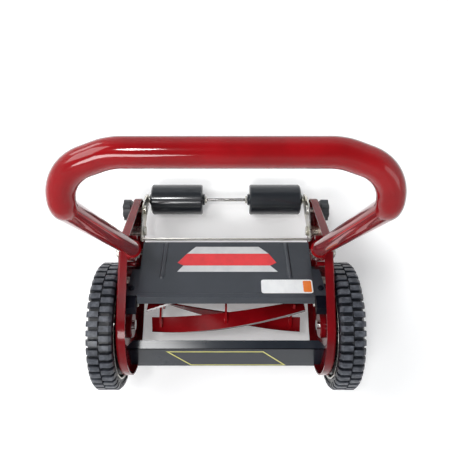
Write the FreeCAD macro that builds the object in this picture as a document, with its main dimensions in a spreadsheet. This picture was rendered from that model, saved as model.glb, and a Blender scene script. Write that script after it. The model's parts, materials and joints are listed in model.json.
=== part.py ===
"""Small hand-pushed reel mower: two wheels drive a five-blade reel through internal gears.

Frame: +Z up, the ground at Z = 0, +X to the right, -Y the way the mower is pushed.  The
origin is on the ground under the middle of the whole object.  All sizes are millimetres.
Pieces that exist on both sides are modelled on the +X side and mirrored.
"""
import FreeCAD, Part
import math
import os
import re
import Sketcher
from FreeCAD import Placement, Rotation, Vector

SIZES = [
    ("wheel_radius", 88, "rolling radius over the tread blocks"),
    ("wheel_width", 34, "width of a wheel"),
    ("wheel_gap", 2.5, "gap between a side frame and its wheel"),
    ("tread_height", 5.5, "height of a tread block"),
    ("tread_count", 45, "tread blocks in one row"),
    ("tread_angle", 4.6, "angle that one block covers, degrees"),
    ("tread_groove", 1.4, "groove between the two rows"),
    ("shoulder_run", 4.5, "sideways run of the rounded shoulder"),
    ("shoulder_drop", 9, "how far the shoulder blocks reach down the sidewall"),
    ("tyre_wall", 8, "thickness of the tyre under its blocks"),
    ("rim_wall", 3.5, "thickness of the wheel's rim"),
    ("web_wall", 4, "thickness of the wheel's web"),
    ("web_inset", 9, "depth of the web behind the wheel's outer face"),
    ("hub_radius", 20, "radius of the wheel's hub"),
    ("hub_length", 21, "length of the wheel's hub"),
    ("bush_wall", 2.5, "wall of the bush in the hub"),
    ("rib_count", 8, "ribs on the outer face of the web"),
    ("axle_radius", 7, "radius of a stub axle"),
    ("axle_boss_radius", 18.6, "radius of the boss that holds an axle"),
    ("axle_boss_length", 7, "length of that boss"),
    ("cap_radius", 17, "radius of a hub cap"),
    ("cap_height", 10, "height of a hub cap"),
    ("ring_teeth", 60, "teeth of the ring gear in a wheel"),
    ("pinion_teeth", 14, "teeth of a pinion on the reel shaft"),
    ("gear_width", 10, "face width of the gears"),
    ("gear_inset", 2, "distance of the gears behind the wheel's inner face"),
    ("gear_rim", 5, "wall behind the ring gear's teeth"),
    ("gear_gap", 3.5, "gap between the ring gear and the wheel's rim"),
    ("backlash", 0.3, "backlash at the pitch circle"),
    ("frame_outer", 140, "half distance over the side frames"),
    ("frame_depth", 12, "depth of a side frame's inward flange"),
    ("plate_wall", 2, "thickness of a side frame"),
    ("lobe_inset", 14, "side frame's round front inside the wheel's radius"),
    ("front_lobe_shift", 6, "its centre behind the wheel's axle"),
    ("front_lobe_rise", 4, "its centre above the wheel's axle"),
    ("top_lobe_radius", 27, "radius of the side frame around the handle pivot"),
    ("tail_lobe_radius", 18, "radius of the side frame's tail"),
    ("knife_lobe_radius", 22, "radius of the side frame around the bed knife"),
    ("knife_lobe_back", 28, "its centre behind the reel's axis"),
    ("knife_lobe_sink", 5.5, "how far the side frame reaches below the knife carrier"),
    ("reel_radius", 56, "cutting radius of the reel"),
    ("reel_gap", 5, "gap between the blades and a bearing housing"),
    ("reel_drop", 13, "reel axis below the wheel axles"),
    ("reel_twist", 72, "twist of a blade over its length, degrees"),
    ("blade_depth", 22, "depth of a blade"),
    ("blade_wall", 2.6, "thickness of a blade"),
    ("blade_lean", 7, "lean of a blade's edge into the cut"),
    ("spider_inset", 14, "distance of the outer spiders from the blades' ends"),
    ("spider_wall", 3, "thickness of a spider's arms"),
    ("spider_hub", 15, "radius of a spider's hub"),
    ("spider_hub_length", 9, "length of a spider's hub"),
    ("spider_margin", 7, "how far an arm ends inside the cutting radius"),
    ("shaft_radius", 8, "radius of the reel shaft"),
    ("journal_radius", 6, "radius of the shaft in its bearings and pinions"),
    ("bearing_radius", 11, "outer radius of a reel bearing"),
    ("bearing_width", 12, "width of a reel bearing"),
    ("housing_radius", 15, "radius of a bearing housing"),
    ("housing_flange", 24, "radius of the housing's flange"),
    ("housing_length", 26, "length of a bearing housing"),
    ("knife_clearance", 0.3, "gap between the reel and the bed knife"),
    ("knife_wall", 3, "thickness of the bed knife"),
    ("knife_width", 31, "width of the bed knife"),
    ("knife_screw_pitch", 60, "distance between the knife's screws"),
    ("carrier_wall", 3.4, "thickness of the carrier under the knife"),
    ("carrier_height", 18, "height of the carrier's upright part"),
    ("carrier_bolt_back", 37, "carrier bolt behind the reel's axis"),
    ("carrier_bolt_rise", 9, "carrier bolt above the carrier's underside"),
    ("cover_margin", 21.2, "distance of the cover's edge from a side plate"),
    ("cover_length", 91, "length of the cover along its slope"),
    ("cover_slope", 30.4, "slope of the cover, degrees"),
    ("cover_wall", 1.5, "thickness of the cover"),
    ("cover_ahead", 6.6, "cover's front edge ahead of the reel's axis"),
    ("cover_gap", 17.6, "cover's front edge above the top of the reel"),
    ("tab_gap", 4.5, "gap between a cover tab and its side plate"),
    ("bead_inset", 31.8, "distance of a bead from the cover's side edge"),
    ("bead_width", 5.5, "width of a bead"),
    ("bead_height", 1.2, "height of a bead"),
    ("bar_wall", 2.5, "thickness of the front bar"),
    ("bar_back", 21, "front bar's rear edge ahead of the wheel axles"),
    ("bar_corner", 33, "corner between its ledge and its face, ahead of the axles"),
    ("bar_front", 57, "foot of its face ahead of the axles"),
    ("bar_rise", 9, "its rear edge above the axles"),
    ("bar_corner_rise", 7, "its corner above the axles"),
    ("bar_foot_drop", 26, "foot of its face below the axles"),
    ("bar_chamfer", 9, "cut-off of the ledge's rear corners"),
    ("bar_screw_ahead", 38, "front bar's screws ahead of the axles"),
    ("bar_screw_drop", 12, "front bar's screws below the axles"),
    ("tie_radius", 5, "radius of the tie rod"),
    ("tie_back", 62, "tie rod behind the reel's axis"),
    ("tie_drop", 17, "tie rod below the reel's axis"),
    ("pivot_y", 98, "handle pivot behind the wheel axles"),
    ("pivot_rise", 50, "handle pivot above the wheel axles"),
    ("tube_radius", 11.1, "outer radius of the handle tube"),
    ("tube_wall", 1.2, "wall of the handle tube"),
    ("leg_set", 7.8, "how far a leg stands inward of its foot"),
    ("bend_z", 457, "height of the bend at the top of the legs"),
    ("bend_radius", 22, "radius of that bend"),
    ("grip_back", 37, "grip behind the legs"),
    ("grip_rise", 27, "grip above the bend"),
    ("corner_radius", 34, "radius of the loop's corners"),
    ("foot_wall", 6, "thickness of a flattened handle foot"),
    ("foot_half", 11, "half width of a handle foot"),
    ("foot_length", 27, "flat length of a foot above the pivot"),
    ("foot_taper", 25, "length over which a foot becomes round"),
    ("pivot_radius", 4, "radius of the pivot bolts"),
    ("stop_radius", 3, "radius of the handle's stop pins"),
    ("handle_back", 60, "how far the handle leans back, degrees"),
    ("handle_forward", 10, "how far the handle leans forward, degrees"),
    ("roller_radius", 24, "radius of a rear roller"),
    ("roller_back", 193, "roller axis behind the wheel axles"),
    ("roller_start", 37, "inner end of a roller from the middle"),
    ("roller_gap", 4, "gap between a roller's hub and its arm"),
    ("roller_hub", 9, "radius of a roller's hub"),
    ("roller_hub_step", 3, "how far a hub stands out of its roller"),
    ("rod_radius", 3, "radius of the roller rod"),
    ("arm_gap", 2, "gap between a roller arm and the side frame's flange"),
    ("arm_wall", 2, "thickness of a roller arm"),
    ("swing_y", 138, "roller frame pivot behind the wheel axles"),
    ("swing_z", 57, "roller frame pivot above the ground"),
    ("swing_up", 10, "how far the roller frame swings up, degrees"),
    ("swing_down", 6, "how far the roller frame swings down, degrees"),
    ("knob_reach", 32, "distance of a knob from the roller frame pivot"),
    ("knob_radius", 16, "radius of a knob over its lobes"),
    ("knob_length", 14, "length of a knob"),
    ("knob_lobes", 7, "lobes of a knob"),
    ("strip_height", 20, "height of the roller frame's cross strip"),
    ("strip_ahead", 15, "cross strip ahead of the roller frame pivot"),
    ("strip_rise", 13, "middle of the cross strip above that pivot"),
    ("running_fit", 0.06, "radial clearance of a part that turns on another"),
    ("seat_gap", 0.2, "gap where a part is seated on another"),
    ("screw_radius", 2.5, "radius of the small screws"),
]

LAYOUT = [
    ("axle_y", "(wheel_radius - roller_back - roller_radius) / 2"),
    ("axle_z", "wheel_radius"),
    ("plate_inner", "frame_outer - plate_wall"),
    ("flange_inner", "frame_outer - frame_depth"),
    ("wheel_in", "frame_outer + wheel_gap"),
    ("wheel_out", "wheel_in + wheel_width"),
    ("tyre_outer", "wheel_radius - tread_height"),
    ("rim_outer", "tyre_outer - tyre_wall"),
    ("rim_inner", "rim_outer - rim_wall"),
    ("web_out", "wheel_out - web_inset"),
    ("web_in", "web_out - web_wall"),
    ("hub_in", "wheel_in + 1"),
    ("hub_out", "hub_in + hub_length"),
    ("bush_outer", "axle_radius + running_fit + bush_wall"),
    ("gear_module", "(rim_inner - gear_gap - gear_rim) / (ring_teeth / 2 + 1.25)"),
    ("ring_pitch", "gear_module * ring_teeth / 2"),
    ("pinion_pitch", "gear_module * pinion_teeth / 2"),
    ("gear_centre", "ring_pitch - pinion_pitch"),
    ("gear_in", "wheel_in + gear_inset"),
    ("gear_out", "gear_in + gear_width"),
    ("reel_back", "sqrt(gear_centre ^ 2 - reel_drop ^ 2)"),
    ("reel_y", "axle_y + reel_back"),
    ("reel_z", "axle_z - reel_drop"),
    ("mesh_angle", "-asin(reel_drop / gear_centre) / 1 deg"),
    ("reel_length", "2 * (plate_inner - housing_length - reel_gap)"),
    ("spider_offset", "reel_length / 2 - spider_inset"),
    ("spider_reach", "reel_radius - spider_margin"),
    ("edge_radial", "sqrt(reel_radius ^ 2 - (blade_lean + blade_wall / 2) ^ 2)"),
    ("root_radial", "reel_radius - blade_depth"),
    ("blade_rake", "blade_lean / (edge_radial - root_radial)"),
    ("weld_gap", "0.3 + spider_reach * reel_twist * spider_wall / reel_length / 114"),
    ("front_lobe_radius", "wheel_radius - lobe_inset"),
    ("lobe_y", "axle_y + front_lobe_shift"),
    ("lobe_z", "axle_z + front_lobe_rise"),
    ("handle_y", "axle_y + pivot_y"),
    ("pivot_z", "axle_z + pivot_rise"),
    ("top_lobe_y", "handle_y + 1"),
    ("top_lobe_z", "pivot_z - 3"),
    ("swing_at", "axle_y + swing_y"),
    ("knob_y", "swing_at + knob_reach"),
    ("knob_z", "swing_z + 2"),
    ("tail_y", "knob_y"),
    ("tail_z", "knob_z - 3"),
    ("knife_top", "reel_z - reel_radius - knife_clearance"),
    ("knife_y", "reel_y - 1"),
    ("shelf_top", "knife_top - knife_wall"),
    ("shelf_low", "shelf_top - carrier_wall"),
    ("knife_lobe_y", "reel_y + knife_lobe_back"),
    ("knife_lobe_z", "shelf_low + knife_lobe_radius - knife_lobe_sink"),
    ("carrier_bolt_y", "reel_y + carrier_bolt_back"),
    ("carrier_bolt_z", "shelf_low + carrier_bolt_rise"),
    ("bar_screw_y", "axle_y - bar_screw_ahead"),
    ("bar_screw_z", "axle_z - bar_screw_drop"),
    ("cover_y", "reel_y - cover_ahead"),
    ("cover_front_z", "reel_z + reel_radius + cover_gap"),
    ("cover_half", "plate_inner - cover_margin"),
    ("cover_tab", "plate_inner - tab_gap"),
    ("bead_offset", "cover_half - bead_inset"),
    ("roller_y", "axle_y + roller_back"),
    ("foot_x", "flange_inner - 0.8 - foot_wall / 2"),
    ("leg_half", "foot_x - leg_set"),
    ("foot_top", "pivot_z + foot_length"),
    ("tube_low", "foot_top + foot_taper"),
    ("grip_y", "handle_y + grip_back"),
    ("grip_z", "bend_z + grip_rise"),
    ("arm_out", "flange_inner - arm_gap"),
    ("arm_in", "arm_out - arm_wall"),
    ("roller_length", "arm_in - roller_gap - roller_hub_step - roller_start"),
    ("strip_y", "swing_at - strip_ahead"),
    ("strip_z", "swing_z + strip_rise"),
    ("tie_y", "reel_y + tie_back"),
    ("tie_z", "reel_z - tie_drop"),
]

doc = FreeCAD.newDocument("ReelMower")


def fill_sheet(name, rows):
    """Put one name, value and note in each row and give every value its name as alias."""
    sheet = doc.addObject("Spreadsheet::Sheet", name)
    for number, row in enumerate(rows, start=1):
        sheet.set(f"A{number}", row[0])
        sheet.set(f"B{number}", str(row[1]))
        sheet.setAlias(f"B{number}", row[0])
        if len(row) > 2:
            sheet.set(f"C{number}", row[2])
    return sheet


OWNER = {row[0]: "Sizes" for row in SIZES}
OWNER.update({row[0]: "Layout" for row in LAYOUT})


def bound(text):
    """Write the sheet's name before each size that an expression names."""
    return re.sub(r"[a-z]+(?:_[a-z]+)*", lambda word: _owned(word.group()), str(text))


def _owned(word):
    return f"{OWNER[word]}.{word}" if word in OWNER else word


fill_sheet("Sizes", SIZES)
doc.recompute()
layout = fill_sheet("Layout", [(name, "=" + bound(text)) for name, text in LAYOUT])
doc.recompute()


def val(text):
    """The number that an expression stands for."""
    result = layout.evalExpression(bound(text))
    return float(getattr(result, "Value", result))


# ---------------------------------------------------------------- drawing helpers

def new_body(label, base=("0", "0", "0"), tilt=None):
    """A body whose origin, and tilt about X, follow the sheet."""
    body = doc.addObject("PartDesign::Body", label)
    body.Label = label
    if tilt is not None:
        body.Placement = Placement(Vector(), Rotation(Vector(1, 0, 0), val(tilt)))
        body.setExpression("Placement.Rotation.Angle", bound(tilt))
    for axis, text in zip("xyz", base):
        if text != "0":
            body.setExpression(f"Placement.Base.{axis}", bound(text))
    return body


def new_sketch(body, plane, offset="0", turn=None, about=Vector(0, 0, 1)):
    """A sketch on an origin plane, moved along its normal and turned in its own frame."""
    sketch = body.newObject("Sketcher::SketchObject", "Sketch")
    support = [f for f in body.Origin.OriginFeatures if f.Role == plane + "_Plane"][0]
    sketch.AttachmentSupport = [(support, "")]
    sketch.MapMode = "FlatFace"
    if turn is not None:
        sketch.AttachmentOffset = Placement(Vector(), Rotation(about, val(turn)))
        sketch.setExpression("AttachmentOffset.Rotation.Angle", bound(turn))
    if offset != "0":
        sketch.setExpression("AttachmentOffset.Base.z", bound(offset))
    return sketch


def pin(sketch, geometry, point, x_text, y_text):
    """Hold one point of the sketch at two sizes from its origin."""
    for kind, text in (("DistanceX", x_text), ("DistanceY", y_text)):
        index = sketch.addConstraint(
            Sketcher.Constraint(kind, -1, 1, geometry, point, val(text)))
        sketch.setExpression(f"Constraints[{index}]", bound(text))


def polygon(sketch, corners):
    """A closed outline of straight lines through corners given as pairs of expressions."""
    points = [Vector(val(x), val(y), 0) for x, y in corners]
    first, count = sketch.GeometryCount, len(points)
    for i in range(count):
        sketch.addGeometry(Part.LineSegment(points[i], points[(i + 1) % count]))
    for i in range(count):
        sketch.addConstraint(Sketcher.Constraint(
            "Coincident", first + i, 2, first + (i + 1) % count, 1))
    for i, (x, y) in enumerate(corners):
        pin(sketch, first + i, 1, x, y)


def circle(sketch, x, y, radius):
    """A circle with its centre and radius held by the sheet."""
    index = sketch.addGeometry(
        Part.Circle(Vector(val(x), val(y), 0), Vector(0, 0, 1), val(radius)))
    pin(sketch, index, 3, x, y)
    held = sketch.addConstraint(Sketcher.Constraint("Radius", index, val(radius)))
    sketch.setExpression(f"Constraints[{held}]", bound(radius))


def belt(sketch, circles):
    """The outline of a belt round circles (x, y, radius), listed anticlockwise."""
    discs = [(Vector(val(x), val(y), 0), val(r)) for x, y, r in circles]
    count, first = len(discs), sketch.GeometryCount
    normals = []
    for i in range(count):
        (start, r_start), (end, r_end) = discs[i], discs[(i + 1) % count]
        step = end - start
        swing = math.acos((r_start - r_end) / step.Length)
        heading = math.atan2(step.y, step.x)
        normals.append(Vector(math.cos(heading - swing), math.sin(heading - swing), 0))
    for i in range(count):
        (start, r_start), (end, r_end) = discs[i], discs[(i + 1) % count]
        sketch.addGeometry(Part.LineSegment(
            start + normals[i] * r_start, end + normals[i] * r_end))
    for i in range(count):
        centre, radius = discs[i]
        begin, finish = normals[i - 1], normals[i]
        angle = math.atan2(begin.y, begin.x)
        stop = math.atan2(finish.y, finish.x)
        while stop <= angle:
            stop += 2 * math.pi
        sketch.addGeometry(Part.ArcOfCircle(
            Part.Circle(centre, Vector(0, 0, 1), radius), angle, stop))
    for i, (x, y, radius) in enumerate(circles):
        arc = first + count + i
        pin(sketch, arc, 3, x, y)
        held = sketch.addConstraint(Sketcher.Constraint("Radius", arc, val(radius)))
        sketch.setExpression(f"Constraints[{held}]", bound(radius))
        before = first + (i - 1) % count
        sketch.addConstraint(Sketcher.Constraint("Tangent", before, 2, arc, 1))
        sketch.addConstraint(Sketcher.Constraint("Tangent", arc, 2, first + i, 1))


def settle(feature):
    """Compute a feature and stop at once if it failed."""
    doc.recompute()
    if any(word in feature.State for word in ("Invalid", "Error")):
        raise RuntimeError(f"{feature.getParentGeoFeatureGroup().Label}: {feature.Label} failed")
    return feature


def pad(body, sketch, length, middle=False, back=False):
    """Add the sketch's area over a length."""
    feature = body.newObject("PartDesign::Pad", "Pad")
    feature.Profile = sketch
    feature.setExpression("Length", bound(length))
    feature.Midplane = middle
    feature.Reversed = back
    return settle(feature)


def pocket(body, sketch, length=None, back=False):
    """Take the sketch's area away over a length, or right through; it must cut something."""
    before = body.Shape.Volume
    feature = body.newObject("PartDesign::Pocket", "Pocket")
    feature.Profile = sketch
    if length is None:
        feature.Type = "ThroughAll"
        feature.Midplane = True
    else:
        feature.setExpression("Length", bound(length))
        feature.Reversed = back
    settle(feature)
    if body.Shape.Volume > before - 1e-6:
        raise RuntimeError(f"{body.Label}: a pocket cuts nothing")
    return feature


def revolve(body, sketch, angle="360"):
    """Turn the sketch's area about the sketch's own horizontal axis."""
    feature = body.newObject("PartDesign::Revolution", "Revolution")
    feature.Profile = sketch
    feature.ReferenceAxis = (sketch, ["H_Axis"])
    feature.setExpression("Angle", bound(angle))
    return settle(feature)


def polar(body, feature, axis, count):
    """Repeat a feature round one of the body's own axes."""
    line = [f for f in body.Origin.OriginFeatures if f.Role == axis + "_Axis"][0]
    pattern = body.newObject("PartDesign::PolarPattern", "PolarPattern")
    pattern.Originals = [feature]
    pattern.Axis = (line, [""])
    pattern.Angle = 360
    pattern.setExpression("Occurrences", bound(count))
    body.Tip = pattern
    return settle(pattern)


def round_edges(body, radius, test):
    """Fillet the edges of the body that a test picks out."""
    base = body.Tip
    names = [f"Edge{i}" for i, edge in enumerate(base.Shape.Edges, start=1) if test(edge)]
    feature = body.newObject("PartDesign::Fillet", "Fillet")
    feature.Base = (base, names)
    feature.setExpression("Radius", bound(radius))
    return settle(feature)


def in_plane(axis, value):
    """A test for edges that lie in one plane across an axis."""
    def test(edge):
        box = edge.BoundBox
        low, high = getattr(box, axis + "Min"), getattr(box, axis + "Max")
        return abs(low - value) < 1e-4 and abs(high - value) < 1e-4
    return test


def along(axis):
    """A test for straight edges that run along an axis."""
    def test(edge):
        box = edge.BoundBox
        spans = {"X": box.XLength, "Y": box.YLength, "Z": box.ZLength}
        across = [spans[name] for name in "XYZ" if name != axis]
        return spans[axis] > 1e-3 and max(across) < 1e-4
    return test


def turned(label, corners, y="0", z="0"):
    """A body turned about an axis along X; corners are pairs of X and radius."""
    body = new_body(label, ("0", y, z))
    sketch = new_sketch(body, "XY")
    polygon(sketch, corners)
    revolve(body, sketch)
    return body


def sleeve(label, x_from, x_to, inner, outer, y="0", z="0"):
    """A plain ring about an axis along X."""
    return turned(label, [(x_from, inner), (x_to, inner), (x_to, outer), (x_from, outer)], y, z)


def bolt(label, head_end, seat, tip, head, shank, y, z):
    """A round-headed bolt along X, from the end of its head to its tip."""
    return turned(label, [(head_end, "0"), (head_end, head), (seat, head), (seat, shank),
                          (tip, shank), (tip, "0")], y, z)


def mirrored(source, label):
    """The same piece on the -X side."""
    twin = doc.addObject("Part::Mirroring", label)
    twin.Label = label
    twin.Source = source
    twin.Normal = Vector(1, 0, 0)
    return twin


def pair(make, name):
    """A right piece from its maker, and its left twin."""
    right = make(name + "_right")
    return [right, mirrored(right, name + "_left")]


def grouped(label, pieces):
    """Identical small pieces of both sides, kept together as separate solids."""
    twins = [mirrored(piece, f"{piece.Label}_twin") for piece in pieces]
    group = doc.addObject("Part::Compound", label)
    group.Label = label
    group.Links = pieces + twins
    return group


# ---------------------------------------------------------------- side frames and bars

def frame_lobes(wall):
    """The circles that a side frame's outline runs round, less a wall."""
    return [("lobe_y", "lobe_z", f"front_lobe_radius - {wall}"),
            ("knife_lobe_y", "knife_lobe_z", f"knife_lobe_radius - {wall}"),
            ("tail_y", "tail_z", f"tail_lobe_radius - {wall}"),
            ("top_lobe_y", "top_lobe_z", f"top_lobe_radius - {wall}")]


def side_frame(label):
    """Pressed plate with an inward flange all round, bored for all that it carries."""
    body = new_body(label)
    outline = new_sketch(body, "YZ", "flange_inner")
    belt(outline, frame_lobes("0"))
    pad(body, outline, "frame_depth")
    round_edges(body, "1.5 * plate_wall", in_plane("X", val("frame_outer")))
    hollow = new_sketch(body, "YZ", "flange_inner")
    belt(hollow, frame_lobes("plate_wall"))
    pocket(body, hollow, "frame_depth - plate_wall", back=True)
    round_edges(body, "plate_wall / 2", in_plane("X", val("plate_inner")))
    holes = new_sketch(body, "YZ", "frame_outer")
    circle(holes, "axle_y", "axle_z", "axle_radius + seat_gap")
    circle(holes, "reel_y", "reel_z", "journal_radius + 2")
    circle(holes, "handle_y", "pivot_z", "pivot_radius + seat_gap")
    circle(holes, "swing_at", "swing_z", "pivot_radius + seat_gap")
    circle(holes, "tie_y", "tie_z", "tie_radius - 1 + seat_gap")
    circle(holes, "bar_screw_y", "bar_screw_z", "screw_radius + seat_gap")
    circle(holes, "carrier_bolt_y", "carrier_bolt_z", "pivot_radius + seat_gap")
    pocket(body, holes)
    slot = new_sketch(body, "YZ", "frame_outer")
    wide = "pivot_radius + 0.8"
    belt(slot, [(*knob_place("0 - swing_down - 1"), wide), (*knob_place("swing_up + 1"), wide)])
    pocket(body, slot)
    return body


def knob_place(angle):
    """Where the knob's stud is when the roller frame has swung by an angle."""
    start = "atan((knob_z - swing_z) / knob_reach)"
    swung = f"{start} + ({angle}) * 1 deg"
    return (f"swing_at + knob_reach * cos({swung}) / cos({start})",
            f"swing_z + knob_reach * sin({swung}) / cos({start})")


def front_bar():
    """Bent plate between the frames: a level ledge and a long slanted face."""
    body = new_body("front_bar", ("0", "axle_y", "axle_z"))
    end = "plate_inner - seat_gap"
    section = new_sketch(body, "YZ")
    polygon(section, [
        ("0 - bar_back", "bar_rise"), ("0 - bar_corner", "bar_corner_rise"),
        ("0 - bar_front", "0 - bar_foot_drop"),
        ("1.25 * bar_wall - bar_front", "0 - bar_foot_drop"),
        ("0.4 * bar_wall - bar_corner", "bar_corner_rise - 1.2 * bar_wall"),
        ("0 - bar_back", "bar_rise - bar_wall")])
    pad(body, section, f"2 * ({end})", middle=True)
    corner = new_sketch(body, "XY", "bar_wall + bar_rise")
    for sign in ("", "0 - "):
        polygon(corner, [(f"{sign}({end} + 1)", "1 - bar_back"),
                         (f"{sign}({end} + 1)", "0 - bar_back - bar_chamfer"),
                         (f"{sign}({end} - bar_chamfer)", "1 - bar_back")])
    pocket(body, corner, "4 * bar_wall")
    for sign, back in (("", True), ("0 - ", False)):
        ear = new_sketch(body, "YZ", f"{sign}({end})")
        polygon(ear, [("0.4 * bar_wall - bar_corner", "bar_corner_rise - 0.6 * bar_wall"),
                      ("0.8 * bar_wall - bar_front", "0.4 * bar_wall - bar_foot_drop"),
                      ("1.2 * bar_wall - bar_corner", "0 - bar_screw_drop - screw_radius * 2.4")])
        pad(body, ear, "bar_wall", back=back)
    bore = new_sketch(body, "YZ")
    circle(bore, "0 - bar_screw_ahead", "0 - bar_screw_drop", "screw_radius + 0.02")
    pocket(body, bore)
    corner_z = val("bar_corner_rise")
    round_edges(body, "bar_wall * 0.4",
                lambda edge: along("X")(edge) and abs(edge.BoundBox.ZMin - corner_z) < 0.1)
    return body


def bar_screw(label):
    """Button-head screw that holds the front bar's ear to a side frame."""
    ear = "plate_inner - seat_gap - bar_wall"
    return bolt(label, f"{ear} - 2.2", ear, "frame_outer", "4.5", "screw_radius",
                "bar_screw_y", "bar_screw_z")


def tie_rod():
    """Rod that ties the frames together behind the reel."""
    end = "frame_outer + 5"
    inner = "plate_inner - seat_gap"
    return turned("tie_rod", [
        (f"0 - ({end})", "0"), (f"0 - ({end})", "tie_radius - 1"),
        (f"0 - ({inner})", "tie_radius - 1"), (f"0 - ({inner})", "tie_radius"),
        (inner, "tie_radius"), (inner, "tie_radius - 1"), (end, "tie_radius - 1"), (end, "0")],
        "tie_y", "tie_z")


# ---------------------------------------------------------------- bed knife

def knife_carrier():
    """Bar under and behind the reel that carries the fixed blade."""
    body = new_body("knife_carrier", ("0", "reel_y", "0"))
    section = new_sketch(body, "YZ")
    back, top = "carrier_bolt_back + pivot_radius", "shelf_low + carrier_height"
    polygon(section, [("12", "shelf_low"), (f"{back} - 1", "shelf_low"), (f"{back} + 1", top),
                      (f"{back} - carrier_wall", top), ("knife_width", "shelf_low + carrier_height / 2"),
                      ("knife_width", "shelf_top"), ("12", "shelf_top")])
    pad(body, section, "2 * (plate_inner - seat_gap)", middle=True)
    return body


def bed_knife():
    """Fixed blade with a ground front edge, just under the reel."""
    body = new_body("bed_knife", ("0", "knife_y", "0"))
    section = new_sketch(body, "YZ")
    polygon(section, [("0", "knife_top"), ("knife_width", "knife_top"),
                      ("knife_width", "shelf_top"), ("2", "shelf_top")])
    pad(body, section, "reel_length + 6", middle=True)
    return body


def knife_screws():
    """Round heads of the screws that hold the knife to its carrier, four in a row."""
    screws = []
    for number in (1, 2):
        x = f"knife_screw_pitch * ({number} - 0.5)"
        body = new_body(f"knife_screw_{number}", (x, "knife_y + 0.7 * knife_width", "shelf_low"))
        head = new_sketch(body, "XY")
        circle(head, "0", "0", "screw_radius + 2")
        pad(body, head, "2.4", back=True)
        screws.append(body)
    return grouped("knife_screws", screws)


def carrier_bolt(label):
    """Bolt through a side frame into the end of the knife carrier."""
    return bolt(label, "frame_outer + 5", "frame_outer", "plate_inner - seat_gap", "6.5",
                "pivot_radius", "carrier_bolt_y", "carrier_bolt_z")


# ---------------------------------------------------------------- cover

def cover():
    """Bent sheet over the reel: lip, two pressed beads, a tab at each end."""
    body = new_body("cover", ("0", "cover_y", "cover_front_z"), "0 - cover_slope")
    section = new_sketch(body, "YZ")
    polygon(section, [("0", "0"), ("cover_length", "0"), ("cover_length", "0 - 5"),
                      ("cover_length - cover_wall", "0 - 5"),
                      ("cover_length - cover_wall", "0 - cover_wall"),
                      ("0.4", "0 - cover_wall"), ("0 - 2", "0 - 9"), ("0 - 3.5", "0 - 8.6")])
    pad(body, section, "2 * cover_half", middle=True)
    tabs = new_sketch(body, "XY", "0 - cover_wall")
    for sign in ("", "0 - "):
        polygon(tabs, [(f"{sign}(cover_half - 4)", "5"), (f"{sign}cover_tab", "5"),
                       (f"{sign}(cover_tab - 6)", "46"), (f"{sign}(cover_half - 4)", "46")])
    pad(body, tabs, "cover_wall", back=True)
    beads = new_sketch(body, "XY")
    for sign in ("", "0 - "):
        belt(beads, [(f"{sign}bead_offset", "cover_length * 0.4", "bead_width / 2"),
                     (f"{sign}bead_offset", "cover_length - bead_width / 2 - 0.5", "bead_width / 2")])
    pad(body, beads, "bead_height")
    round_edges(body, "bead_height * 0.8", in_plane("Z", val("bead_height")))
    return body


def cover_block(label):
    """Moulded block on the side frame that holds up the cover's front corner."""
    body = new_body(label, ("0", "cover_y", "cover_front_z"), "0 - cover_slope")
    section = new_sketch(body, "YZ", "cover_half + 1.5")
    polygon(section, [("0 - 15", "0 - 16"), ("24", "0 - 16"), ("24", "0 - 2 * cover_wall - seat_gap"),
                      ("4", "0 - 2 * cover_wall - seat_gap"), ("3", "0 - 1"), ("0 - 13", "0 - 3")])
    pad(body, section, "plate_inner - seat_gap - cover_half - 1.5")
    return body


def cover_screw(label):
    """Dome-head screw on top of a cover block."""
    body = new_body(label, ("0", "cover_y", "cover_front_z"), "0 - cover_slope")
    head = new_sketch(body, "XY", "seat_gap / 2 - cover_wall")
    circle(head, "cover_half + 9", "16", "4")
    pad(body, head, "2.5")
    return body


# ---------------------------------------------------------------- wheels

def tread_block(inner_end):
    """Section of one tread block: flat over the tread, dropping over one shoulder."""
    middle = "(wheel_in + wheel_out) / 2"
    side, sign = ("wheel_in", "+") if inner_end else ("wheel_out", "-")
    edge = f"{middle} {'-' if inner_end else '+'} tread_groove / 2"
    base = "tyre_outer - 1"
    corners = [(edge, base), (edge, "wheel_radius"), (f"{side} {sign} shoulder_run", "wheel_radius"),
               (f"{side} {sign} 1", "wheel_radius - shoulder_drop / 3"),
               (side, "wheel_radius - shoulder_drop"), (f"{side} {sign} 3", "wheel_radius - shoulder_drop")]
    return corners


def tyre(label):
    """Tread band with two rows of blocks, one row half a pitch ahead of the other."""
    drop = "wheel_radius - shoulder_drop"
    body = turned(label, [("wheel_in + 2", "rim_outer"), ("wheel_out - 2", "rim_outer"),
                          ("wheel_out - 2", drop), ("wheel_out - 5", "tyre_outer"),
                          ("wheel_in + 5", "tyre_outer"), ("wheel_in + 2", drop)],
                  "axle_y", "axle_z")
    for inner_end, turn in ((True, "0"), (False, "180 / tread_count")):
        block = new_sketch(body, "XY", "0", turn, Vector(1, 0, 0))
        polygon(block, tread_block(inner_end))
        polar(body, revolve(body, block, "tread_angle"), "X", "tread_count")
    return body


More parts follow.
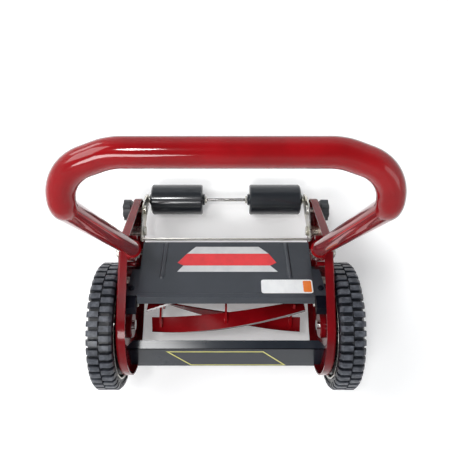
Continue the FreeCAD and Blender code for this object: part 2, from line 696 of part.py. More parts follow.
def wheel(label):
    """Moulded wheel: rim, set-in web with ribs, and hub."""
    body = turned(label, [
        ("hub_in", "bush_outer"), ("hub_out", "bush_outer"), ("hub_out", "hub_radius"),
        ("web_out", "hub_radius + 2"), ("web_out", "rim_inner - 3"), ("wheel_out - 2", "rim_inner"),
        ("wheel_out - 2", "rim_outer - seat_gap / 2"), ("wheel_in + 2", "rim_outer - seat_gap / 2"),
        ("wheel_in + 2", "rim_inner"), ("web_in", "rim_inner"), ("web_in", "hub_radius"),
        ("hub_in", "hub_radius")], "axle_y", "axle_z")
    rib = new_sketch(body, "XY")
    polygon(rib, [("web_out - 1", "hub_radius - 2"), ("hub_out + 4", "hub_radius + 4"),
                  ("wheel_out - 4", "rim_inner - 1"), ("wheel_out - 4", "rim_inner + 1"),
                  ("web_out - 1", "rim_inner + 1")])
    polar(body, pad(body, rib, "3", middle=True), "X", "rib_count")
    return body


def hub_cap(label):
    """Hollow cap over the axle nut."""
    seat, end = "hub_out + seat_gap", "hub_out + seat_gap + cap_height"
    body = turned(label, [(seat, "cap_radius - 2"), (seat, "cap_radius"), (f"{end} - 4", "cap_radius"),
                          (end, "cap_radius - 5"), (end, "0"), (f"{end} - 2", "0"),
                          (f"{end} - 2", "cap_radius - 6"), (f"{end} - 4", "cap_radius - 2")],
                  "axle_y", "axle_z")
    return body


def axle(label):
    """Stub axle: through the frame's boss and plate, and out through the wheel's bush."""
    return turned(label, [("plate_inner - axle_boss_length - 3", "0"),
                          ("plate_inner - axle_boss_length - 3", "axle_radius"),
                          ("hub_out + 7", "axle_radius"), ("hub_out + 7", "0")], "axle_y", "axle_z")


def axle_boss(label):
    """Round boss on the frame's inner face that grips the axle."""
    start = "plate_inner - seat_gap - axle_boss_length"
    return turned(label, [(start, "axle_radius"), (start, "axle_boss_radius - 1.5"),
                          (f"{start} + 1.5", "axle_boss_radius"),
                          ("plate_inner - seat_gap", "axle_boss_radius"),
                          ("plate_inner - seat_gap", "axle_radius")], "axle_y", "axle_z")


# ---------------------------------------------------------------- gears

def involute(base, radius):
    """Polar angle of an involute of a base circle where it reaches a radius."""
    if radius <= base:
        return 0.0
    swing = math.acos(base / radius)
    return math.tan(swing) - swing


def gear_wire(teeth, root, tip, half_width):
    """Closed outline of a spur gear, with involute flanks drawn through six points each."""
    module, pressure = val("gear_module"), math.radians(20)
    pitch = module * teeth / 2
    base = pitch * math.cos(pressure)
    shift = half_width / pitch + involute(base, pitch)
    steps = [root + (tip - root) * i / 5 for i in range(6)]
    points = []
    for tooth in range(teeth):
        middle = 2 * math.pi * tooth / teeth
        flank = [(r, shift - involute(base, r)) for r in steps]
        rising = [(r, middle - a) for r, a in flank]
        falling = [(r, middle + a) for r, a in reversed(flank)]
        points += [Vector(0, r * math.cos(a), r * math.sin(a)) for r, a in rising + falling]
    return Part.makePolygon(points + [points[0]])


def gear_body(label, outline, blank, turn, y, z):
    """Extrude a gear's section from one gear face to the other and set it on its axis."""
    width = Vector(val("gear_width"), 0, 0)
    section = Part.makeFace([outline, blank], "Part::FaceMakerBullseye")
    gear = doc.addObject("Part::Feature", label)
    gear.Label = label
    gear.Shape = section.extrude(width)
    gear.Placement = Placement(Vector(val("gear_in"), val(y), val(z)),
                               Rotation(Vector(1, 0, 0), turn))
    return gear


def ring_gear(label):
    """Internal gear in the wheel.  Its gaps are the teeth of an external gear of its size."""
    module, pitch = val("gear_module"), val("ring_pitch")
    gap = math.pi * module / 4 + val("backlash") / 4
    outline = gear_wire(int(val("ring_teeth")), pitch - 0.8 * module, pitch + 1.25 * module, gap)
    blank = Part.Wire(Part.makeCircle(pitch + 1.25 * module + val("gear_rim"), Vector(),
                                      Vector(1, 0, 0)))
    return gear_body(label, outline, blank, val("mesh_angle"), "axle_y", "axle_z")


def pinion(label):
    """Gear on the end of the reel shaft, one tooth full in mesh with the ring."""
    module, pitch = val("gear_module"), val("pinion_pitch")
    tooth = math.pi * module / 4 - val("backlash") / 4
    outline = gear_wire(int(val("pinion_teeth")), pitch - 1.2 * module, pitch + 0.9 * module, tooth)
    bore = Part.Wire(Part.makeCircle(val("journal_radius") + 0.02, Vector(), Vector(1, 0, 0)))
    return gear_body(label, outline, bore, val("mesh_angle"), "reel_y", "reel_z")


# ---------------------------------------------------------------- reel

def reel_shaft():
    """Shaft stepped down to its bearings and pinions."""
    step, end = "spider_offset + spider_hub_length", "gear_out + 1"
    return turned("reel_shaft", [
        (f"0 - ({end})", "0"), (f"0 - ({end})", "journal_radius"),
        (f"0 - ({step})", "journal_radius"), (f"0 - ({step})", "shaft_radius"),
        (step, "shaft_radius"), (step, "journal_radius"), (end, "journal_radius"), (end, "0")],
        "reel_y", "reel_z")


def blade_angle(x_text, number):
    """Angle of a blade's section at a place along the reel."""
    return f"180 + 72 * {number} - reel_twist * (({x_text}) / reel_length + 0.5)"


def reel_blade(number):
    """Strip twisted round the reel: a loft through seven turned sections."""
    body = new_body(f"reel_blade_{number + 1}", ("0", "reel_y", "reel_z"))
    half = "blade_wall / 2"
    sections = []
    for step in range(7):
        x_text = f"reel_length * ({step} / 6 - 0.5)"
        section = new_sketch(body, "YZ", x_text, blade_angle(x_text, number))
        polygon(section, [("root_radial", f"0 - {half}"), ("edge_radial", f"blade_lean - {half}"),
                          ("edge_radial", f"blade_lean + {half}"), ("root_radial", half)])
        sections.append(section)
    loft = body.newObject("PartDesign::AdditiveLoft", "Loft")
    loft.Profile = sections[0]
    loft.Sections = sections[1:]
    settle(loft)
    return body


def spider(label, x_text):
    """Hub with five arms, each lying behind a blade and welded to it."""
    body = new_body(label, (x_text, "reel_y", "reel_z"))
    hub = new_sketch(body, "YZ")
    circle(hub, "0", "0", "spider_hub")
    pad(body, hub, "spider_hub_length", middle=True)
    arm = new_sketch(body, "YZ", "0", blade_angle(x_text, 0))
    back = "0 - blade_wall / 2 - weld_gap"
    tip = f"{back} + (spider_reach - root_radial) * blade_rake"
    polygon(arm, [("spider_hub - 4", "0 - 9"), ("root_radial", f"{back} - 9"),
                  ("spider_reach", f"{tip} - 6"), ("spider_reach", tip), ("root_radial", back),
                  ("root_radial - 1.5", "4"), ("spider_hub - 4", "6")])
    polar(body, pad(body, arm, "spider_wall", middle=True), "X", "5")
    bore = new_sketch(body, "YZ")
    circle(bore, "0", "0", "shaft_radius + 0.02")
    pocket(body, bore)
    return body


def bearing_housing(label):
    """Turned housing between a side frame and the reel's end."""
    start, seat = "plate_inner - housing_length", "plate_inner - seat_gap"
    return turned(label, [
        (start, "journal_radius + 1.5"), (start, "housing_radius - 2"),
        (f"{start} + 2", "housing_radius"), (f"{seat} - 5", "housing_radius"),
        (f"{seat} - 5", "housing_flange"), (seat, "housing_flange"), (seat, "bearing_radius"),
        (f"{seat} - bearing_width - 6", "bearing_radius"),
        (f"{seat} - bearing_width - 6", "journal_radius + 1.5")], "reel_y", "reel_z")


def reel_bearing(label):
    """Plain bearing in its housing."""
    start = "plate_inner - seat_gap - bearing_width - 6"
    return sleeve(label, start, f"{start} + bearing_width", "journal_radius + running_fit",
                  "bearing_radius", "reel_y", "reel_z")


# ---------------------------------------------------------------- handle

def rounded_path(points, radii):
    """Straight runs joined by tangent arcs, one radius for each inner point."""
    edges, start = [], points[0]
    for before, corner, after, radius in zip(points, points[1:], points[2:], radii):
        inward = (before - corner).normalize()
        onward = (after - corner).normalize()
        half = inward.getAngle(onward) / 2
        reach = radius / math.tan(half)
        first, last = corner + inward * reach, corner + onward * reach
        bisector = (inward + onward).normalize()
        crest = corner + bisector * (radius / math.sin(half) - radius)
        edges.append(Part.LineSegment(start, first).toShape())
        edges.append(Part.Arc(first, crest, last).toShape())
        start = last
    edges.append(Part.LineSegment(start, points[-1]).toShape())
    return Part.Wire(edges)


def handle_loop():
    """Bent tube: two upright legs, tipped back at the top into a loop with a straight grip."""
    half, back = val("leg_half"), val("handle_y")
    low, bend = val("tube_low"), val("bend_z")
    grip_y, grip_z = val("grip_y"), val("grip_z")
    right = [Vector(half, back, low), Vector(half, back, bend), Vector(half, grip_y, grip_z)]
    left = [Vector(-p.x, p.y, p.z) for p in reversed(right)]
    radii = [val("bend_radius"), val("corner_radius"), val("corner_radius"), val("bend_radius")]
    path = rounded_path(right + left, radii)
    tubes = []
    for radius in (val("tube_radius"), val("tube_radius") - val("tube_wall")):
        ring = Part.Wire(Part.makeCircle(radius, right[0], Vector(0, 0, 1)))
        tubes.append(path.makePipeShell([ring], True, False))
    loop = doc.addObject("Part::Feature", "handle_loop")
    loop.Label = "handle_loop"
    loop.Shape = tubes[0].cut(tubes[1])
    return loop


def oval(x, y, z, half_x, half_y, round_y):
    """Closed outline of four arcs: two that face along X and two round ends along Y."""
    flat = half_y - round_y
    spots = [Vector(x + half_x, y - flat, z), Vector(x + half_x, y + flat, z),
             Vector(x - half_x, y + flat, z), Vector(x - half_x, y - flat, z)]
    mids = [Vector(x + half_x, y, z), Vector(x, y + half_y, z),
            Vector(x - half_x, y, z), Vector(x, y - half_y, z)]
    edges = []
    for i in range(4):
        start, end = spots[i], spots[(i + 1) % 4]
        straight = i % 2 == 0
        edges.append((Part.LineSegment(start, end) if straight
                      else Part.Arc(start, mids[i], end)).toShape())
    return Part.Wire(edges)


def round_section(x, y, z, radius):
    """A circle as four arcs that start where an oval's sides do."""
    spots = [Vector(x + radius * math.cos(a), y + radius * math.sin(a), z)
             for a in (math.radians(angle) for angle in (-45, 0, 45, 90, 135, 180, 225, 270, 315))]
    return Part.Wire([Part.Arc(spots[i], spots[i + 1], spots[i + 2]).toShape()
                      for i in (0, 2, 4, 6)])


def handle_foot(label):
    """Flattened lower end of a leg: round at the top, a drilled tongue at the bottom."""
    y, foot_top = val("handle_y"), val("foot_top")
    wall, half = val("foot_wall") / 2, val("foot_half")
    flat = oval(val("foot_x"), y, foot_top, wall, half + 2, wall)
    top = round_section(val("leg_half"), y, val("tube_low") - 0.02, val("tube_radius"))
    taper = Part.makeLoft([flat, top], True, False)
    tongue = Part.makeBox(2 * wall, 2 * half, foot_top - val("pivot_z"),
                          Vector(val("foot_x") - wall, y - half, val("pivot_z")))
    end = Part.makeCylinder(half, 2 * wall, Vector(val("foot_x") - wall, y, val("pivot_z")),
                            Vector(1, 0, 0))
    hole = Part.makeCylinder(val("pivot_radius") + val("running_fit"), 4 * wall,
                             Vector(val("foot_x") - 2 * wall, y, val("pivot_z")), Vector(1, 0, 0))
    foot = doc.addObject("Part::Feature", label)
    foot.Label = label
    foot.Shape = taper.fuse([tongue, end]).removeSplitter().cut(hole)
    return foot


def pivot_bolt(label):
    """Bolt that a handle leg turns on, held in the side frame."""
    head = "foot_x - foot_wall / 2 - seat_gap"
    return bolt(label, f"{head} - 4", head, "frame_outer + 7", "7.5", "pivot_radius",
                "handle_y", "pivot_z")


def pivot_spacer(label):
    """Collar between a handle foot and the side frame."""
    return sleeve(label, "foot_x + foot_wall / 2 + seat_gap", "plate_inner - seat_gap / 2",
                  "pivot_radius + 0.02", "pivot_radius + 5", "handle_y", "pivot_z")


def stop_pin(label, lean, ahead):
    """Pin that stops a foot at the end of its swing."""
    gap = "foot_half + stop_radius + 0.4"
    reach = "16" if ahead else "7"
    sign = "+" if ahead else "-"
    y = f"handle_y + {reach} * sin({lean}) {sign} ({gap}) * cos({lean})"
    z = f"pivot_z + {reach} * cos({lean}) {'-' if ahead else '+'} ({gap}) * sin({lean})"
    return bolt(label, "plate_inner - 17", "plate_inner - 16", "plate_inner - seat_gap / 2",
                "stop_radius", "stop_radius - 0.01", y, z)


# ---------------------------------------------------------------- rear rollers

def arm_turn_hole(sketch):
    """Holes of a roller arm: pivot, knob stud and roller rod."""
    circle(sketch, "swing_at", "swing_z", "pivot_radius + running_fit")
    circle(sketch, "knob_y", "knob_z", "pivot_radius + 0.02")
    circle(sketch, "roller_y", "roller_radius", "rod_radius + 0.02")


def roller_arm(label):
    """Flat arm from the pivot to the roller rod."""
    body = new_body(label)
    outline = new_sketch(body, "YZ", "arm_in")
    belt(outline, [("strip_y + 4", "strip_z - 6", "6"), ("roller_y", "roller_radius", "9"),
                   ("knob_y", "knob_z", "11"), ("strip_y + 4", "strip_z + 4", "6")])
    pad(body, outline, "arm_wall")
    holes = new_sketch(body, "YZ", "arm_in")
    arm_turn_hole(holes)
    pocket(body, holes)
    return body


def cross_strip():
    """Upright strip that joins the roller arms behind the cover."""
    body = new_body("cross_strip")
    section = new_sketch(body, "YZ")
    low, high = "strip_z - strip_height / 2", "strip_z + strip_height / 2"
    polygon(section, [("strip_y", low), ("strip_y + arm_wall", low),
                      ("strip_y + arm_wall", high), ("strip_y", high)])
    pad(body, section, "2 * arm_in", middle=True)
    return body


def swing_pivot(label):
    """Shouldered pin that a roller arm turns on."""
    head = "arm_in - seat_gap"
    return turned(label, [(f"{head} - 3", "0"), (f"{head} - 3", "7"), (head, "7"),
                          (head, "pivot_radius"), ("arm_out + seat_gap", "pivot_radius"),
                          ("arm_out + seat_gap", "8"), ("plate_inner - seat_gap / 2", "8"),
                          ("plate_inner - seat_gap / 2", "pivot_radius"),
                          ("frame_outer + 5", "pivot_radius"), ("frame_outer + 5", "0")],
                  "swing_at", "swing_z")


def knob_stud(label):
    """Stud from a roller arm out through the slot in the side frame."""
    return bolt(label, "arm_in - 3", "arm_in", "frame_outer + knob_length - 2", "7",
                "pivot_radius", "knob_y", "knob_z")


def height_knob(label):
    """Lobed clamping knob with a round foot."""
    body = new_body(label, ("0", "knob_y", "knob_z"))
    foot = new_sketch(body, "YZ", "frame_outer + seat_gap")
    circle(foot, "0", "0", "knob_radius - 3")
    pad(body, foot, "3")
    head = new_sketch(body, "YZ", "frame_outer + seat_gap + 3")
    circle(head, "0", "0", "knob_radius")
    pad(body, head, "knob_length - 3")
    flute = new_sketch(body, "YZ", "frame_outer + seat_gap + 3")
    circle(flute, "knob_radius + 3", "0", "knob_radius * 0.36")
    polar(body, pocket(body, flute, "knob_length", back=True), "X", "knob_lobes")
    bore = new_sketch(body, "YZ", "frame_outer + seat_gap")
    circle(bore, "0", "0", "pivot_radius + running_fit")
    pocket(body, bore, "knob_length - 1.5", back=True)
    return body


def roller(label):
    """Turned roller with a hub standing out at each end."""
    start, end = "roller_start", "roller_start + roller_length"
    hub_in, hub_out = "roller_start - roller_hub_step", "roller_start + roller_length + roller_hub_step"
    bore = "rod_radius + running_fit"
    return turned(label, [(hub_in, bore), (hub_out, bore), (hub_out, "roller_hub"),
                          (end, "roller_hub"), (end, "roller_radius - 2"),
                          (f"{end} - 2", "roller_radius"), (f"{start} + 2", "roller_radius"),
                          (start, "roller_radius - 2"), (start, "roller_hub"),
                          (hub_in, "roller_hub")], "roller_y", "roller_radius")


def roller_rod():
    """Steel rod through both arms and both rollers."""
    end = "arm_out + 4"
    return turned("roller_rod", [(f"0 - ({end})", "0"), (f"0 - ({end})", "rod_radius"),
                                 (end, "rod_radius"), (end, "0")], "roller_y", "roller_radius")


# ---------------------------------------------------------------- the whole mower

def build():
    """Make every piece and return those that become files."""
    nodes = []
    nodes += pair(side_frame, "side_frame")
    nodes += [front_bar(), grouped("front_bar_screws", [bar_screw("bar_screw")]), tie_rod()]
    nodes.append(grouped("tie_rod_nuts", [sleeve(
        "tie_nut", "frame_outer + seat_gap / 2", "frame_outer + 4.5", "tie_radius - 0.98", "8",
        "tie_y", "tie_z")]))
    nodes += [knife_carrier(), bed_knife(), knife_screws()]
    nodes.append(grouped("carrier_bolts", [carrier_bolt("carrier_bolt")]))
    nodes += [cover(), grouped("cover_screws", [cover_screw("cover_screw")])]
    nodes += pair(cover_block, "cover_block")
    nodes += [grouped("axles", [axle("axle")]), grouped("axle_bosses", [axle_boss("axle_boss")])]
    nodes += pair(tyre, "tyre") + pair(wheel, "wheel") + pair(ring_gear, "ring_gear")
    nodes += pair(hub_cap, "hub_cap")
    nodes += pair(lambda label: sleeve(label, "hub_in", "hub_out", "axle_radius + running_fit",
                                       "bush_outer", "axle_y", "axle_z"), "wheel_bush")
    nodes.append(grouped("axle_nuts", [sleeve(
        "axle_nut", "hub_out + seat_gap", "hub_out + 6", "axle_radius + 0.02", "12",
        "axle_y", "axle_z")]))
    nodes.append(reel_shaft())
    nodes += [spider("spider_left", "0 - spider_offset"), spider("spider_centre", "0"),
              spider("spider_right", "spider_offset")]
    nodes += [reel_blade(number) for number in range(5)]
    nodes += pair(pinion, "pinion")
    nodes += pair(bearing_housing, "bearing_housing")
    nodes.append(grouped("reel_bearings", [reel_bearing("reel_bearing")]))
    nodes.append(handle_loop())
    nodes += pair(handle_foot, "handle_foot")
    nodes.append(grouped("pivot_bolts", [pivot_bolt("pivot_bolt")]))
    nodes.append(grouped("pivot_spacers", [pivot_spacer("pivot_spacer")]))
    nodes.append(grouped("handle_stops", [stop_pin("rear_stop", "handle_back", True),
                                          stop_pin("front_stop", "0 - handle_forward", False)]))
    nodes += pair(roller_arm, "roller_arm")
    nodes.append(cross_strip())
    nodes.append(grouped("swing_pivots", [swing_pivot("swing_pivot")]))
    nodes.append(grouped("knob_studs", [knob_stud("knob_stud")]))
    nodes += pair(height_knob, "height_knob")
    nodes += pair(roller, "roller")
    nodes.append(roller_rod())
    nodes.append(grouped("rod_nuts", [sleeve(
        "rod_nut", "arm_out + seat_gap / 2", "arm_out + 3.5", "rod_radius + 0.02", "5.5",
        "roller_y", "roller_radius")]))
    return nodes


def write_files(nodes):
    """Check every object and shape, then write one STEP file for each piece."""
    doc.recompute()
    for thing in doc.Objects:
        if any(word in thing.State for word in ("Invalid", "Error")):
            raise RuntimeError(f"{thing.Label} failed: {thing.State}")
    os.makedirs("parts", exist_ok=True)
    for node in nodes:
        if node.Shape.isNull() or not node.Shape.isValid():
            raise RuntimeError(f"{node.Label} has no valid shape")
        node.Shape.exportStep(os.path.join("parts", node.Label + ".step"))
    print(len(nodes), "pieces written")


write_files(build())
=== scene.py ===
"""Looks of a small reel mower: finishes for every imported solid, and the fine pieces they leave out.

Lengths are metres.  +Z is up, +X is to the right and -Y is the way the mower is pushed.
"""

import json
import logging
import math
from dataclasses import dataclass
from enum import Enum
from typing import Mapping, Optional, Sequence, Union

import bpy
import numpy as np
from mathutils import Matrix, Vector

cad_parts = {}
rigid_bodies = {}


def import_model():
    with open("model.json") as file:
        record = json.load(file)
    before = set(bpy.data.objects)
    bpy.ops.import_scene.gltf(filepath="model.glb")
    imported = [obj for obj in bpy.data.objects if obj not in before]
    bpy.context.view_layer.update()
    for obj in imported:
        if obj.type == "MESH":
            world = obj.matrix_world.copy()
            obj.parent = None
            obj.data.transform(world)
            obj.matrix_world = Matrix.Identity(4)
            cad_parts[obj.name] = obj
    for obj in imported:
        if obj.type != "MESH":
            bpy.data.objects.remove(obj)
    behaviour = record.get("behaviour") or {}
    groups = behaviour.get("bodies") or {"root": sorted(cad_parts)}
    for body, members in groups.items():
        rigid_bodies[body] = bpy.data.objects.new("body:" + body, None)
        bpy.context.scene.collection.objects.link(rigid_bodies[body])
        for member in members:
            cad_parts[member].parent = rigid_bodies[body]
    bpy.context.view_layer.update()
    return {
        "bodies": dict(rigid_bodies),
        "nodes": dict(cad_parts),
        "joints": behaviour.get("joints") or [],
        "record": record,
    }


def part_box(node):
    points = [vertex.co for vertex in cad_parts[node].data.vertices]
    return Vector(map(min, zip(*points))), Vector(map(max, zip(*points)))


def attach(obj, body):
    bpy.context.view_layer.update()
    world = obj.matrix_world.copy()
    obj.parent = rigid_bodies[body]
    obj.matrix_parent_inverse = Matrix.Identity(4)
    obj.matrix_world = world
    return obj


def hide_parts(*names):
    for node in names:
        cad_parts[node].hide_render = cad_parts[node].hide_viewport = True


Material = bpy.types.Material
Socket = bpy.types.NodeSocket
Points = np.ndarray
Pair = tuple[float, float]
Spot = tuple[float, float, float]
Colour = tuple[float, float, float]
Outline = tuple[Pair, ...]
Sizes = tuple[float, ...]
Link = Union[Socket, float]
Feed = Union[Socket, float, Spot]

LOG = logging.getLogger("reel_mower")
MM = 0.001
SIDES = ((-1, "left"), (1, "right"))
RIGHT = (1.0, 0.0, 0.0)
BAR_LEDGE = 24.0 * MM  # from the front bar's lower edge back to its fold


# ---------------------------------------------------------------- node graphs

class Graph:
    """A material's node tree, with one short method for each kind of node the finishes use."""

    def __init__(self, name: str) -> None:
        """Start a material with an empty principled shader.

        Args:
            name: The material's name.
        """
        self.material = bpy.data.materials.new(name)
        self.material.use_nodes = True
        self.tree = self.material.node_tree
        self.shader = self.tree.nodes["Principled BSDF"]
        self.here = self.add("TexCoord", {}, "Object")

    def put(self, socket: Socket, value: Feed) -> None:
        """Feed one input.

        Args:
            socket: The input.
            value: An output to link to it, or a plain number, vector or colour to write in it.
        """
        if isinstance(value, Socket):
            self.tree.links.new(value, socket)
        elif isinstance(value, tuple) and socket.type == "RGBA":
            socket.default_value = (*value, 1.0)
        else:
            socket.default_value = value

    def add(self, kind: str, feeds: Mapping[Union[int, str], Feed],
            output: Union[int, str] = 0, **values: object) -> Socket:
        """Add a node.

        Args:
            kind: Its type, less the first word that all types share.
            feeds: What each of its inputs takes.
            output: The output to hand on.
            values: Its own properties.

        Returns:
            That output.
        """
        node = self.tree.nodes.new("ShaderNode" + kind)
        for key, value in values.items():
            setattr(node, key, value)
        for key, value in feeds.items():
            self.put(node.inputs[key], value)
        return node.outputs[output]

    def shade(self, **values: Feed) -> Material:
        """Set the shader's own sockets; an underscore stands for a space.

        Args:
            values: A plain value for what is the same all over, or an output for a pattern.

        Returns:
            The material.
        """
        for key, value in values.items():
            self.put(self.shader.inputs[key.replace("_", " ")], value)
        return self.material

    def place(self, centre: Spot = (0.0, 0.0, 0.0), scale: Spot = (1.0, 1.0, 1.0)) -> Socket:
        """Object coordinates measured from a centre and stretched along each axis."""
        shifted = self.add("VectorMath", {0: self.here, 1: centre}, operation="SUBTRACT")
        return self.add("Mapping", {"Vector": shifted, "Scale": scale})

    def noise(self, scale: float, detail: float = 3.0, rough: float = 0.5,
              where: Optional[Socket] = None) -> Socket:
        """Noise from 0 to 1, with a number of bumps per metre."""
        return self.add("TexNoise", {"Vector": self.here if where is None else where,
                                     "Scale": scale, "Detail": detail, "Roughness": rough}, "Fac")

    def cells(self, scale: float) -> Socket:
        """A random grey for each cell of a pattern, with a number of cells per metre."""
        return self.axis(self.add("TexVoronoi", {"Vector": self.here, "Scale": scale}, "Color"), 0)

    def axis(self, vector: Socket, number: int) -> Socket:
        """One of a vector's or colour's three numbers."""
        return self.add("SeparateXYZ", {0: vector}, number)

    def step(self, operation: str, a: Link, b: Link = 0.0) -> Socket:
        """One arithmetic step on two values."""
        return self.add("Math", {0: a, 1: b}, operation=operation)

    def times(self, a: Link, b: Link) -> Socket:
        """One value times another."""
        return self.step("MULTIPLY", a, b)

    def plus(self, a: Link, b: Link) -> Socket:
        """One value and another together."""
        return self.step("ADD", a, b)

    def span(self, value: Link, low: float, high: float, out_low: Link = 0.0,
             out_high: Link = 1.0) -> Socket:
        """Stretch a value smoothly from one range to another, without leaving it."""
        return self.add("MapRange", dict(enumerate((value, low, high, out_low, out_high))),
                        interpolation_type="SMOOTHSTEP")

    def radius(self, y: float, z: float) -> Socket:
        """Distance from an axis along X.

        Args:
            y: Where the axis runs, along Y.
            z: Where it runs, along Z.

        Returns:
            The root of the sum of the squares of the two offsets from the axis.
        """
        offset = self.place((0.0, y, z))
        across, up = self.axis(offset, 1), self.axis(offset, 2)
        return self.step("POWER", self.plus(self.times(across, across), self.times(up, up)), 0.5)

    def blend(self, share: Link, first: Feed, second: Feed) -> Socket:
        """Mix two colours by a share from 0 to 1."""
        return self.add("Mix", {0: share, 6: first, 7: second}, 2, data_type="RGBA")

    def edges(self, reach: float) -> tuple[Socket, Socket]:
        """Normals rounded over sharp edges, and a mask that is 1 on those edges.

        Args:
            reach: Radius of the rounding.

        Returns:
            The rounded normal, and the mask: 0 where it lies less than 6 degrees from the
            plain normal, and 1 from 31 degrees on.
        """
        bevel = self.add("Bevel", {"Radius": reach}, samples=4)
        plain = self.add("NewGeometry", {}, "Normal")
        cosine = self.add("VectorMath", {0: bevel, 1: plain}, "Value", operation="DOT_PRODUCT")
        return bevel, self.span(cosine, 0.995, 0.86)

    def bump(self, height: Link, depth: float, strength: float,
             normal: Optional[Socket] = None) -> Socket:
        """A normal tilted by a height pattern.

        Args:
            height: The pattern.
            depth: How deep it is, in metres.
            strength: Share of the tilt that shows.
            normal: The normal to start from; the plain one without it.

        Returns:
            The tilted normal.
        """
        feeds = {"Strength": strength, "Distance": depth, "Height": height}
        if normal is not None:
            feeds["Normal"] = normal
        return self.add("Bump", feeds)


# ---------------------------------------------------------------- finishes

@dataclass(frozen=True)
class Enamel:
    """Gloss enamel on pressed steel: orange peel, cloudy depth, fine scratches, thin edges."""

    name: str
    deep: Colour
    bright: Colour
    edge: Colour
    coat: Pair = (1.0, 0.03)       # weight and roughness of the clear coat
    ground: Optional[Spot] = None  # y and z of a ground rim's axis, and the radius it starts at
    steel: tuple[Colour, Colour] = ((0.15, 0.14, 0.14), (0.28, 0.27, 0.27))

    def material(self) -> Material:
        """Build the enamel; past the ground rim's radius the bare steel shows.

        Returns:
            The material.
        """
        graph = Graph(self.name)
        rounded, edge = graph.edges(0.6 * MM)
        cloud = graph.span(graph.noise(22.0, detail=4.0), 0.3, 0.7)
        worn = graph.times(edge, graph.span(graph.noise(140.0, detail=4.0), 0.45, 0.75))
        colour = graph.blend(graph.times(worn, 0.55),
                             graph.blend(cloud, self.deep, self.bright), self.edge)
        scratches = graph.noise(260.0, detail=2.0, where=graph.place(scale=(1.0, 14.0, 9.0)))
        rough = graph.span(scratches, 0.35, 0.8, 0.16, 0.30)
        peel = graph.noise(420.0, detail=2.0)
        weight, coat_rough = self.coat
        graph.shade(Coat_Weight=weight, Coat_Roughness=coat_rough, Coat_IOR=1.4,
                    Specular_IOR_Level=0.06)
        if self.ground is not None:
            y, z, rim = self.ground
            uneven = graph.plus(graph.radius(y, z), graph.times(graph.noise(90.0), 0.6 * MM))
            bare = graph.span(uneven, rim, rim + 0.25 * MM)
            grain = graph.noise(900.0, detail=2.0, where=graph.place(scale=(0.2, 3.0, 3.0)))
            colour = graph.blend(bare, colour, graph.blend(grain, *self.steel))
            rough = graph.plus(rough, graph.times(bare, 0.22))
            graph.shade(Metallic=bare)
        return graph.shade(Base_Color=colour, Roughness=rough,
                           Normal=graph.bump(peel, 0.05 * MM, 0.35, rounded))


@dataclass(frozen=True)
class SatinPaint:
    """Satin powder paint: fine grain, soft clouds, edges rubbed a little lighter, and at a fold a
    painted dark line that stands for the dark reflection in the bend.
    """

    name: str
    deep: Colour
    bright: Colour
    rough: Pair = (0.36, 0.5)
    coat: Pair = (0.15, 0.25)       # weight and roughness of the clear coat
    gloss: float = 0.5              # strength of the paint's own shine
    fold_y: Optional[float] = None  # y of a fold: a painted dark line standing for the dark reflection in the bend, and less coat ahead of it
    # colour of the painted dark reflection line at the fold
    painted_fold_shade_colour: Colour = (0.001, 0.001, 0.002)

    def material(self) -> Material:
        """Build the satin paint.

        Returns:
            The material.
        """
        graph = Graph(self.name)
        rounded, edge = graph.edges(0.5 * MM)
        cloud = graph.noise(14.0, detail=5.0, rough=0.6)
        colour = graph.blend(graph.span(cloud, 0.3, 0.72), self.deep, self.bright)
        rub = graph.times(edge, graph.span(graph.noise(90.0, detail=4.0), 0.35, 0.7))
        rubbed = tuple(part * 3.2 + 0.03 for part in self.bright)
        colour = graph.blend(graph.times(rub, 0.5), colour, rubbed)
        weight, coat_rough = self.coat
        graph.shade(Coat_Weight=weight, Coat_Roughness=coat_rough, Specular_IOR_Level=self.gloss)
        if self.fold_y is not None:
            # At the fold: a painted dark line that stands for the dark reflection in the bend, with
            # the coat thinned on it.
            across = graph.axis(graph.place((0.0, self.fold_y, 0.0)), 1)
            fold = graph.span(graph.step("ABSOLUTE", across), 1.4 * MM, 0.5 * MM)
            colour = graph.blend(graph.times(fold, 0.9), colour, self.painted_fold_shade_colour)
            behind = graph.span(across, -1.0 * MM, 1.2 * MM, 0.35 * weight, weight)
            graph.shade(Coat_Weight=graph.times(
                behind, graph.step("SUBTRACT", 1.0, graph.times(fold, 0.8))))
        grain = graph.noise(2600.0, detail=2.0)
        return graph.shade(Base_Color=colour, Roughness=graph.span(cloud, 0.2, 0.8, *self.rough),
                           Normal=graph.bump(grain, 0.03 * MM, 0.25, rounded))


@dataclass(frozen=True)
class PlatedSteel:
    """Zinc-plated or bright steel: drawn grain, small cells, a tint that wanders."""

    name: str
    cool: Colour
    warm: Colour
    rough: Pair = (0.22, 0.42)
    stretch: Spot = (1.0, 1.0, 1.0)
    rubbed: Colour = (0.86, 0.85, 0.82)

    def material(self) -> Material:
        """Build the plated or ground steel.

        Returns:
            The material.
        """
        graph = Graph(self.name)
        rounded, edge = graph.edges(0.4 * MM)
        grain = graph.noise(700.0, where=graph.place(scale=self.stretch))
        tint = graph.blend(graph.span(graph.noise(38.0, detail=4.0), 0.3, 0.7),
                           self.cool, self.warm)
        dull = tuple(part * 0.62 for part in self.cool)
        colour = graph.blend(graph.span(grain, 0.62, 0.3, 0.0, 0.55), tint, dull)
        spread = graph.plus(grain, graph.times(graph.cells(420.0), 0.25))
        return graph.shade(Metallic=1.0,
                           Base_Color=graph.blend(graph.times(edge, 0.35), colour, self.rubbed),
                           Roughness=graph.span(spread, 0.3, 0.95, *self.rough),
                           Normal=graph.bump(grain, 0.02 * MM, 0.3, rounded))


